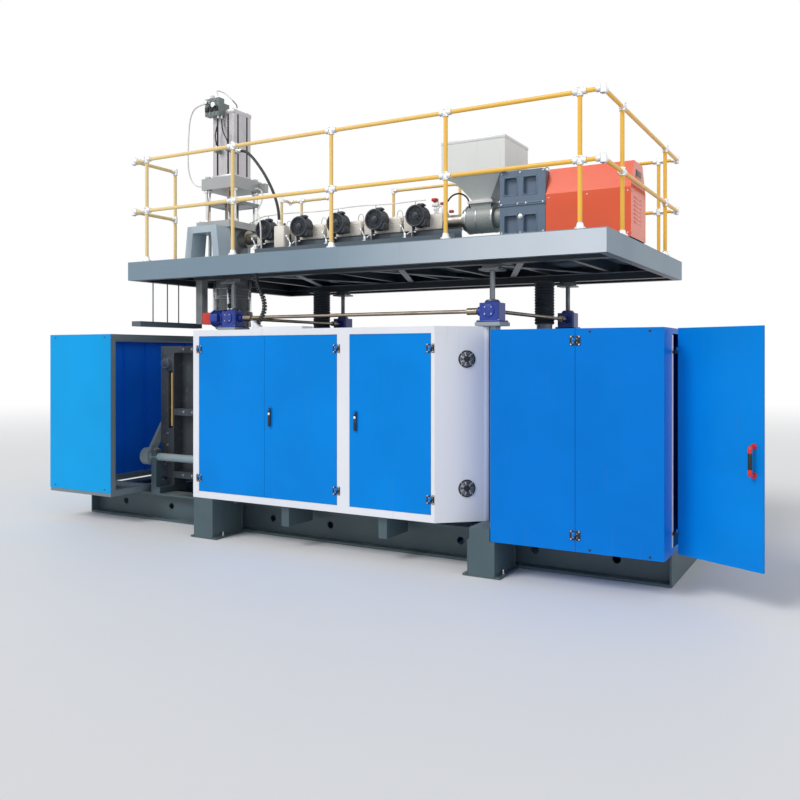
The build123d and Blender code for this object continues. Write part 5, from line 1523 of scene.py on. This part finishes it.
    def box(self) -> None:
        """Make the lid, screws and glands of the junction box, and the taps beside the hopper."""
        finish(block((-1.341, -0.343, 2.806), (-1.219, -0.335, 3.024), 0.003), "junction_lid", "BandCream")
        places = [((-1.28 + sx * 0.051, -0.343, 2.915 + sz * 0.098), FRONT) for sx, sz in CORNERS]
        set_out(pan_screw(0.0045), places, "junction_screws")
        glands = []
        for x, y in ((-1.252, -0.29), (-1.232, -0.305)):
            glands += stack((x, y, 3.03), UP, (0.016, 0.01, 6, 0.001), (0.014, 0.0075, 16, 0.002))
        finish(glands, "junction_glands", "HandleBlack")
        taps = [
            post(0.43, -0.16, 3.02, 3.11, 0.012, 20, 0.001),
            post(0.43, -0.16, 3.07, 3.092, 0.02, 6, 0.001),
            block((0.398, -0.182, 3.104), (0.462, -0.138, 3.15), 0.005),
            post(0.505, -0.16, 3.02, 3.12, 0.01, 20, 0.001),
            drum((0.462, -0.16, 3.126), (0.512, -0.16, 3.126), 0.009, 16),
        ]
        finish(taps, "water_taps", "FittingSilver")
        grips = [
            block((0.404, -0.206, 3.15), (0.456, -0.146, 3.182), 0.008),
            block((0.488, -0.186, 3.118), (0.524, -0.136, 3.14), 0.006),
            block((0.56, -0.15, 3.04), (0.6, -0.11, 3.066), 0.006),
        ]
        finish(grips, "water_tap_grips", "KnobRed")
        finish(wire(list(self.pipe), 0.008), "feed_water_pipe", "HandleBlack")

    def feed(self) -> None:
        """Make the flanges, bolts and hopper rim at the feed end."""
        rings = [drum((x, self.y, self.z), (x + length, self.y, self.z), reach, 64, 0.002)
                 for x, length, reach in self.flanges]
        finish(rings, "feed_flanges", "ShaftSteel")
        bolts = [(about((x, self.y, self.z), Axis.X, reach, math.radians(45 * k + 22.5)), LEFT)
                 for x, reach in self.flange_bolts for k in range(8)]
        set_out(hex_bolt(0.009), bolts, "feed_bolts")
        x, y, top = self.hopper_at
        rim = [slab(x, y, 0.125, 0.125, 3.0905, 3.102, 0.002), slab(x, y, 0.118, 0.118, 3.104, 3.114, 0.002)]
        for side in (-1, 1):
            rim += [slab(x, y + side * 0.279, 0.314, 0.006, top - 0.026, top + 0.002, 0.004),
                    slab(x + side * 0.309, y, 0.006, 0.284, top - 0.026, top + 0.002, 0.004),
                    slab(x, y + side * 0.281, 0.3115, 0.0015, 3.316, 3.338, 0.001)]
        finish(rim, "hopper_rim", "HopperWhite")
        spots = [((x + sx * 0.108, y + sy * 0.108, 3.114), UP) for sx, sy in CORNERS]
        set_out(hex_bolt(0.008), spots, "hopper_bolts")

    def gearbox(self) -> None:
        """Make the gearbox's parting flange, window frames, bolts, plug and lifting eyes."""
        ribs = [block((1.15, y, z - 0.006), (1.586, y + 0.014, z + 0.006), 0.002)
                for z in (3.0145, 3.0295) for y in (-0.359, 0.145)]
        ribs += [block((x + left, -0.3535, z + low), (x + right, -0.3485, z + high), 0.0015)
                 for x, z in self.windows for left, right, low, high in self.window_bars]
        finish(ribs, "gearbox_ribs", "GearboxSlate")
        bolts = [((1.178 + 0.0765 * i, -0.359, 3.022), FRONT) for i in (0, 2, 3, 5)]
        bolts += [((x, -0.35, z), FRONT) for x in (1.18, 1.351, 1.56) for z in (2.772, 3.296)]
        bolts += [((x, -0.29, 2.756), DOWN) for x in (1.19, 1.55)]
        set_out(hex_bolt(0.0095), bolts, "gearbox_bolts")
        plug = stack((1.353, -0.35, 2.914), FRONT, (0.008, 0.021, 32, 0.002), (0.011, 0.014, 6, 0.001))
        finish(plug, "gearbox_plug", "FittingSilver")
        eyes = []
        for x in (1.235, 1.505):
            eyes += [post(x, self.y, 3.315, 3.33, 0.02, 24, 0.002), ring((x, self.y, 3.352), BACK, 0.02, 0.006, 32, 10)]
        finish(eyes, "gearbox_eyes", "BoltZinc")

    def motor(self) -> None:
        """Make the edge, louvres and screws of the motor cover, and a black plate as the painted shade of its slot."""
        trim = [block((1.5835, -0.3515, 2.6885), (2.31, -0.3495, 2.6915), 0.0005),
                block((2.3095, -0.2, 3.185), (2.314, 0.0, 3.196), 0.002)]
        trim += [block((2.3095, -0.25, 2.8 + 0.034 * i), (2.3125, -0.01, 2.816 + 0.034 * i), 0.001) for i in range(7)]
        finish(trim, "cover_louvres", "MotorOrange")
        # painted shade: a black plate stands for the dark opening of the slot in the cover's end face
        finish(block((2.3095, -0.19, 3.2), (2.312, -0.01, 3.252), 0.0008), "cover_slot_shade", "HandleBlack")
        screws = [((x, -0.35, z), FRONT) for x in (1.61, 1.945, 2.283) for z in (2.706, 3.05)]
        screws += [((2.31, y, z), RIGHT) for y in (-0.32, 0.12) for z in (2.706, 3.05)]
        set_out(pan_screw(0.007), screws, "cover_screws")

    def build(self) -> None:
        """Make every piece of the extruder."""
        self.bands()
        self.hoods()
        self.blowers()
        self.outlets()
        self.box()
        self.feed()
        self.gearbox()
        self.motor()


@dataclass
class Lift:
    """Platform lift: motor fins and brake, gearbox covers and bolts, and boots on the guide sleeves."""

    jack_x: float = 1.35
    jack_y: float = 0.96
    shaft_z: float = 2.062
    motor: tuple[float, float] = (-1.583, -1.435)
    motor_radius: float = 0.072
    brake: tuple[float, float] = (-1.695, -1.583)
    guides: tuple[float, float] = (-1.54, 1.16)
    guide_y: float = 0.803
    sleeve: tuple[float, float] = (2.014, 2.436)
    folds: int = 15
    fold: tuple[float, float] = (0.0915, 0.101)

    def drive(self) -> None:
        """Make the lift motor's fins and terminal box, and its red brake."""
        y, z = -self.jack_y, self.shaft_z
        left, right = self.motor
        low, high = self.motor_radius - 0.004, self.motor_radius + 0.01
        fin = block((left + 0.012, -0.0018, low), (right - 0.016, 0.0018, high), 0.0008)
        turns = [Matrix.Rotation(math.radians(15 * k), 4, "X") for k in range(24)]
        fins = repeat(fin, [Matrix.Translation((0, y, z)) @ turn for turn in turns])
        box = block((left + 0.03, y - 0.11, z - 0.034), (right - 0.03, y - 0.064, z + 0.04), 0.006)
        ends = [drum((x, y, z), (x + 0.012, y, z), 0.083, 48, 0.002) for x in (left, right - 0.012)]
        finish([fins, box, *ends], "lift_motor_fins", "LiftBlue", Rig.BASE)
        left, right = self.brake
        body = block((left - 0.0025, y - 0.0585, z - 0.0585), (right + 0.001, y + 0.0585, z + 0.0585), 0.007)
        cap = block((left - 0.008, y - 0.044, z - 0.044), (left - 0.001, y + 0.044, z + 0.044), 0.004)
        finish([body, cap], "lift_brake", "BrakeRed", Rig.BASE)

    def gearboxes(self) -> None:
        """Make the round covers, bolts, base flanges and screw glands of the four worm gearboxes."""
        covers, bolts, glands = [], [], []
        for sx, sy in CORNERS:
            x, y, out = sx * self.jack_x, sy * self.jack_y, (0, sy, 0)
            covers += stack((x, y + sy * 0.085, self.shaft_z), out, (0.008, 0.052, 40, 0.002))
            covers.append(slab(x, y, 0.1, 0.1, 1.9703, 1.984, 0.004))
            bolts += [(about((x, y + sy * 0.093, self.shaft_z), Axis.Y, 0.04, turn), out) for turn in QUARTERS]
            bolts += [((x + cx * 0.088, y + cy * 0.088, 1.984), UP) for cx, cy in CORNERS]
            glands += [ring((x, y, 2.145), UP, 0.046, 0.008, 40, 8), ring((x, y, 2.15), UP, 0.03, 0.005, 40, 8)]
        finish(covers, "jack_covers", "LiftBlue", Rig.BASE)
        set_out(hex_bolt(0.0065), bolts, "jack_bolts", Rig.BASE)
        finish(glands, "jack_glands", "BoltZinc", Rig.BASE)

    def bellows(self) -> None:
        """Make the ribbed boots on the guide sleeves and the bolts of the screw brackets."""
        low, high = self.sleeve
        half = (high - low) / self.folds / 2
        folds = []
        for x in self.guides:
            for i in range(2 * self.folds):
                near, far = self.fold if i % 2 == 0 else self.fold[::-1]
                folds.append(post(x, self.guide_y, low + i * half, low + (i + 1) * half, near, 40, tip=far))
        finish(folds, "guide_boots", "BootGrey")
        bolts = []
        for sx, sy in CORNERS:
            x, y = sx * self.jack_x, sy * self.jack_y
            bolts += [((x + cx * 0.062, y + cy * 0.048, 2.403), UP) for cx, cy in CORNERS]
            bolts.append(((x, y, 2.387), DOWN))
        set_out(hex_bolt(0.011), bolts, "bracket_bolts")

    def build(self) -> None:
        """Make every piece of the lift."""
        self.drive()
        self.gearboxes()
        self.bellows()


@dataclass
class Clamp:
    """Mould clamp: bolts, bar ends, hub caps, grease points and the rings of the closing cylinder."""

    x: float = -2.11
    tie_x: float = 0.3455
    tie_z: tuple[float, float] = (0.6, 1.62)
    front: float = -0.72
    rear: float = 0.52
    middle_z: float = 1.11
    sync_y: float = -0.86
    sync_z: float = 0.65
    hub_x: float = 0.522
    bearing_x: float = 0.36

    def platens(self) -> None:
        """Make the bolts on the platens' ribs and the ends of the tie bars."""
        rows = [(self.x + side * self.tie_x, z) for side in (-1, 1) for z in (0.76, 0.88, 1.34, 1.46)]
        rows += [(self.x + dx, z) for dx in (-0.12, 0.0, 0.12) for z in (0.455, self.middle_z, 1.765)]
        fronts = [((x, self.front, z), FRONT) for x, z in rows if not (x < self.x - 0.3 and z > 0.9)]
        set_out(hex_bolt(0.013), fronts, "front_platen_bolts", Rig.FRONT_CLAMP)
        rears = [((x, self.rear, z), BACK) for x, z in rows if abs(x - self.x) > 0.05 or z != self.middle_z]
        set_out(hex_bolt(0.013), rears, "rear_platen_bolts", Rig.REAR_CLAMP)
        ends = []
        for x in (self.x - self.tie_x, self.x + self.tie_x):
            for z in self.tie_z:
                ends += [drum((x, -0.76, z), (x, -0.772, z), 0.034, 40, tip=0.024),
                         ring((x, -0.758, z), BACK, 0.05, 0.004, 48, 8)]
                centre = (x, -0.74, z)
                ends += [drum(about(centre, Axis.Y, 0.05, turn), about(centre, Axis.Y, 0.0585, turn), 0.006, 12)
                         for turn in QUARTERS]
        finish(ends, "tie_bar_ends", "PlatenGrey", Rig.FRONT_CLAMP)

    def shaft(self) -> None:
        """Make the bright caps of the hubs, the bearing bolts and grease points, and the rings of the cylinder."""
        y, z = self.sync_y, self.sync_z
        caps = []
        for side in (-1, 1):
            x, out = self.x + side * self.hub_x, (side, 0, 0)
            caps += stack((x - side * 0.002, y, z), out, (0.009, 0.043, 40, 0.003))
            caps.append(ring((x - side * 0.0105, y, z), RIGHT, 0.064, 0.004, 56, 8))
            for k in range(6):
                spot = about((x - side * 0.01, y, z), Axis.X, 0.066, math.radians(60 * k))
                caps += stack(spot, out, (0.008, 0.007, 6, 0.0006))
        finish(caps, "hub_caps", "ShaftSteel", Rig.SYNC)
        bolts, nipples = [], []
        for x in (self.x - self.bearing_x, self.x + self.bearing_x):
            bolts += [((x, y + dy, 0.725), UP) for dy in (-0.026, 0.026)]
            bolts += [((x, y + dy, 0.4), UP) for dy in (0.06, 0.095)]
            nipples += stack((x, y, 0.725), UP, (0.012, 0.005, 6, 0.0), (0.01, 0.0035, 12, 0.001))
        set_out(hex_bolt(0.01), bolts, "bearing_bolts", Rig.BASE)
        finish(nipples, "grease_points", "SlotBrass", Rig.BASE)
        rings = [drum((self.x, at, self.middle_z), (self.x, at + 0.022, self.middle_z), 0.092, 56, 0.003)
                 for at in (0.65, 1.006)]
        rings += [post(self.x, at, 1.19, 1.215, 0.016, 6, 0.001) for at in (0.7, 0.98)]
        finish(rings, "clamp_cylinder_rings", "BoltZinc", Rig.BASE)

    def build(self) -> None:
        """Make every piece of the clamp."""
        self.platens()
        self.shaft()


@dataclass
class Base:
    """Base: rims round the holes in the beams, anchor nuts on the sole plates and weld beads."""

    left: float = -3.4
    right: float = 2.746
    cross: float = 0.2
    bays: int = 9
    web: float = 0.81
    hole_z: float = 0.14
    hole: float = 0.034
    foot_x: float = 1.407
    lip: float = 0.134
    rib: float = 0.114
    anchor_y: float = 1.2

    def build(self) -> None:
        """Make the rims, nuts and welds."""
        pitch = (self.right - self.left - self.cross) / self.bays
        places = [(self.left + self.cross / 2 + (i + 0.5) * pitch, side) for i in range(self.bays) for side in (-1, 1)]
        rims = [ring((x, side * self.web, self.hole_z), BACK, self.hole, 0.0035, 40, 8) for x, side in places]
        finish(rims, "beam_hole_rims", "BaseEnamel", Rig.BASE)
        nuts, studs, welds = [], [], []
        for foot, side in CORNERS:
            for lip in (-1, 1):
                x, y = foot * self.foot_x + lip * self.lip, side * self.anchor_y
                nuts.append(((x, y, 0.016), UP))
                studs.append(post(x, y, 0.01, 0.052, 0.0078, 16, 0.0008))
                x = foot * self.foot_x + lip * self.rib
                welds.append(drum((x, side * 0.905, 0.016), (x, side * 1.322, 0.016), 0.006, 8))
                welds.append(post(x, side * 0.903, 0.02, 0.276, 0.005, 8))
        set_out(hex_bolt(0.015), nuts, "anchor_nuts", Rig.BASE)
        finish(studs, "anchor_studs", "BoltZinc", Rig.BASE)
        finish(welds, "foot_welds", "BaseEnamel", Rig.BASE)


@dataclass
class Cabinets:
    """What stands behind the doors: switch fronts, the pump motors' fins and end shields, and the tank's cap."""

    first: Point = (-1.369, -1.144, 0.6)
    pitch: tuple[float, float] = (0.26, 0.32)
    columns: int = 9
    rows: int = 4
    motors: tuple[float, float] = (-0.32, 0.32)
    motor: Point = (1.627, 1.957, 1.17)
    fins: int = 30

    def build(self) -> None:
        """Make the switch fronts, the motors' fins and shields, and the cap."""
        unit = [block((0.006, -0.007, 0.006), (0.174, 0.001, 0.144), 0.003)]
        for x in (0.022 + 0.048 * i for i in range(3)):
            unit += [block((x, -0.016, 0.03), (x + 0.036, -0.006, 0.12), 0.003),
                     block((x + 0.012, -0.026, 0.062), (x + 0.024, -0.014, 0.086), 0.002)]
        (x, y, z), (across, up) = self.first, self.pitch
        places = [Matrix.Translation((x + i * across, y, z + k * up)) for k in range(self.rows)
                  for i in range(self.columns)]
        finish(repeat(join(unit), places), "switch_fronts", "BlowerSlate", Rig.BASE)
        left, right, z = self.motor
        fin = block((left + 0.025, -0.0022, 0.117), (right - 0.03, 0.0022, 0.132), 0.001)
        places = [Matrix.Translation((0, y, z)) @ Matrix.Rotation(math.tau * k / self.fins, 4, "X")
                  for y in self.motors for k in range(self.fins)]
        finish(repeat(fin, places), "pump_motor_fins", "LiftBlue", Rig.BASE)
        parts = [drum((x, y, z), (x + 0.014, y, z), 0.136, 56, 0.003)
                 for y in self.motors for x in (left, right - 0.014)]
        parts += stack((1.9, 0.0, 0.98), UP, (0.04, 0.045, 32, 0.004), (0.014, 0.052, 12, 0.003))
        finish(parts, "pump_end_shields", "BlowerSlate", Rig.BASE)


# ---- studio ----


@dataclass
class Studio:
    """Camera at the photograph's angle, soft light, pale floor and white surroundings."""

    eye: Point = (4.039, -7.253, 1.708)
    look: Point = (-0.4909, 0.8712, 0.0)
    lens: float = 37.9
    shift: float = -0.0565
    ambient: float = 0.5
    suns: tuple[tuple[str, Point, float, float], ...] = (
        ("key", (0.35, 0.75, -0.75), 1.55, 24.0), ("fill", (-0.85, 0.45, -0.35), 0.4, 50.0))
    floor_reach: float = 60.0
    floor_z: float = -0.002

    def place(self, name: str, data: bpy.types.ID, towards: Point) -> Thing:
        """Put a camera or lamp into the scene.

        Args:
            name: its name.
            data: what it is.
            towards: the direction that it looks or shines in.

        Returns:
            The object.
        """
        made = bpy.data.objects.new(name, data)
        made.rotation_mode = "QUATERNION"
        made.rotation_quaternion = Vector(towards).to_track_quat("-Z", "Y")
        bpy.context.scene.collection.objects.link(made)
        return made

    def camera(self) -> None:
        """Set the camera."""
        data = bpy.data.cameras.new("camera")
        data.sensor_width, data.lens, data.shift_y, data.clip_end = 36.0, self.lens, self.shift, 200.0
        made = self.place("camera", data, self.look)
        made.location = self.eye
        bpy.context.scene.camera = made

    def lamps(self) -> None:
        """Add the soft distant lamps."""
        for name, towards, strength, angle in self.suns:
            data = bpy.data.lights.new(name, "SUN")
            data.energy, data.angle = strength, math.radians(angle)
            self.place(name, data, towards)

    def seen(self, graph: Graph) -> Sock:
        """Tell the rays that show the surroundings: from the camera, in gloss and through glass.

        Args:
            graph: the graph that asks.

        Returns:
            1 for those rays, else 0.
        """
        rays = [graph.node("ShaderNodeLightPath", out=name)
                for name in ("Is Camera Ray", "Is Glossy Ray", "Is Transmission Ray")]
        total = rays[0] + rays[1] + rays[2]
        return total.step(0.0, 0.5)

    def world(self) -> None:
        """White surroundings that give a plainer light than they show."""
        world = bpy.data.worlds.new("surroundings")
        bpy.context.scene.world = world
        graph = Graph(world)
        light = graph.node("ShaderNodeBackground", {}, {"Color": (0.97, 0.985, 1.0, 1.0), "Strength": self.ambient})
        white = graph.node("ShaderNodeBackground", {}, {"Color": (1.0, 1.0, 1.0, 1.0), "Strength": 1.0})
        both = graph.node("ShaderNodeMixShader", {}, {0: self.seen(graph), 1: light, 2: white})
        graph.node("ShaderNodeOutputWorld", {}, {0: both})

    def floor(self) -> None:
        """A pale floor that fades into the white far from the machine."""
        choose()
        bpy.ops.mesh.primitive_circle_add(vertices=96, radius=self.floor_reach, fill_type="NGON",
                                          location=(0, 0, self.floor_z))
        made = settle(bpy.context.object)
        made.name = "floor"
        graph = Graph(bpy.data.materials.new("FloorPale"))
        at = graph.node("ShaderNodeTexCoord", out="Object")
        distance = graph.node("ShaderNodeVectorMath", {"operation": "LENGTH"}, {0: at}, out="Value")
        far = distance.step(8.0, 26.0) * self.seen(graph)
        tone = graph.mix(graph.noise(at, 0.8, 4.0) * 0.5, linear("E9E9EA"), linear("E2E3E4"))
        near = graph.node("ShaderNodeBsdfPrincipled", {}, {"Base Color": tone, "Roughness": 0.62})
        glow = graph.node("ShaderNodeEmission", {}, {"Color": (1.0, 1.0, 1.0, 1.0), "Strength": 1.0})
        both = graph.node("ShaderNodeMixShader", {}, {0: far, 1: near, 2: glow})
        graph.node("ShaderNodeOutputMaterial", {}, {0: both})
        made.data.materials.append(graph.owner)

    def build(self) -> None:
        """Set up everything that isn't the machine."""
        self.camera()
        self.world()
        self.floor()
        self.lamps()
        bpy.context.scene.view_settings.view_transform = "Standard"
        LOG.info("studio set")


def main() -> None:
    """Build every sub-assembly in order."""
    logging.basicConfig(level=logging.INFO, format="%(message)s")
    Studio().build()
    dress_nodes()
    for hose in HOSES:
        hose.build()
    for part in (DoorFurniture(), Vents(), Railing(), HoseEnds(), Tower(), Extruder(), Lift(), Clamp(), Base(),
                 Cabinets()):
        part.build()
        LOG.info("finished %s", type(part).__name__)


if __name__ == "__main__":
    main()
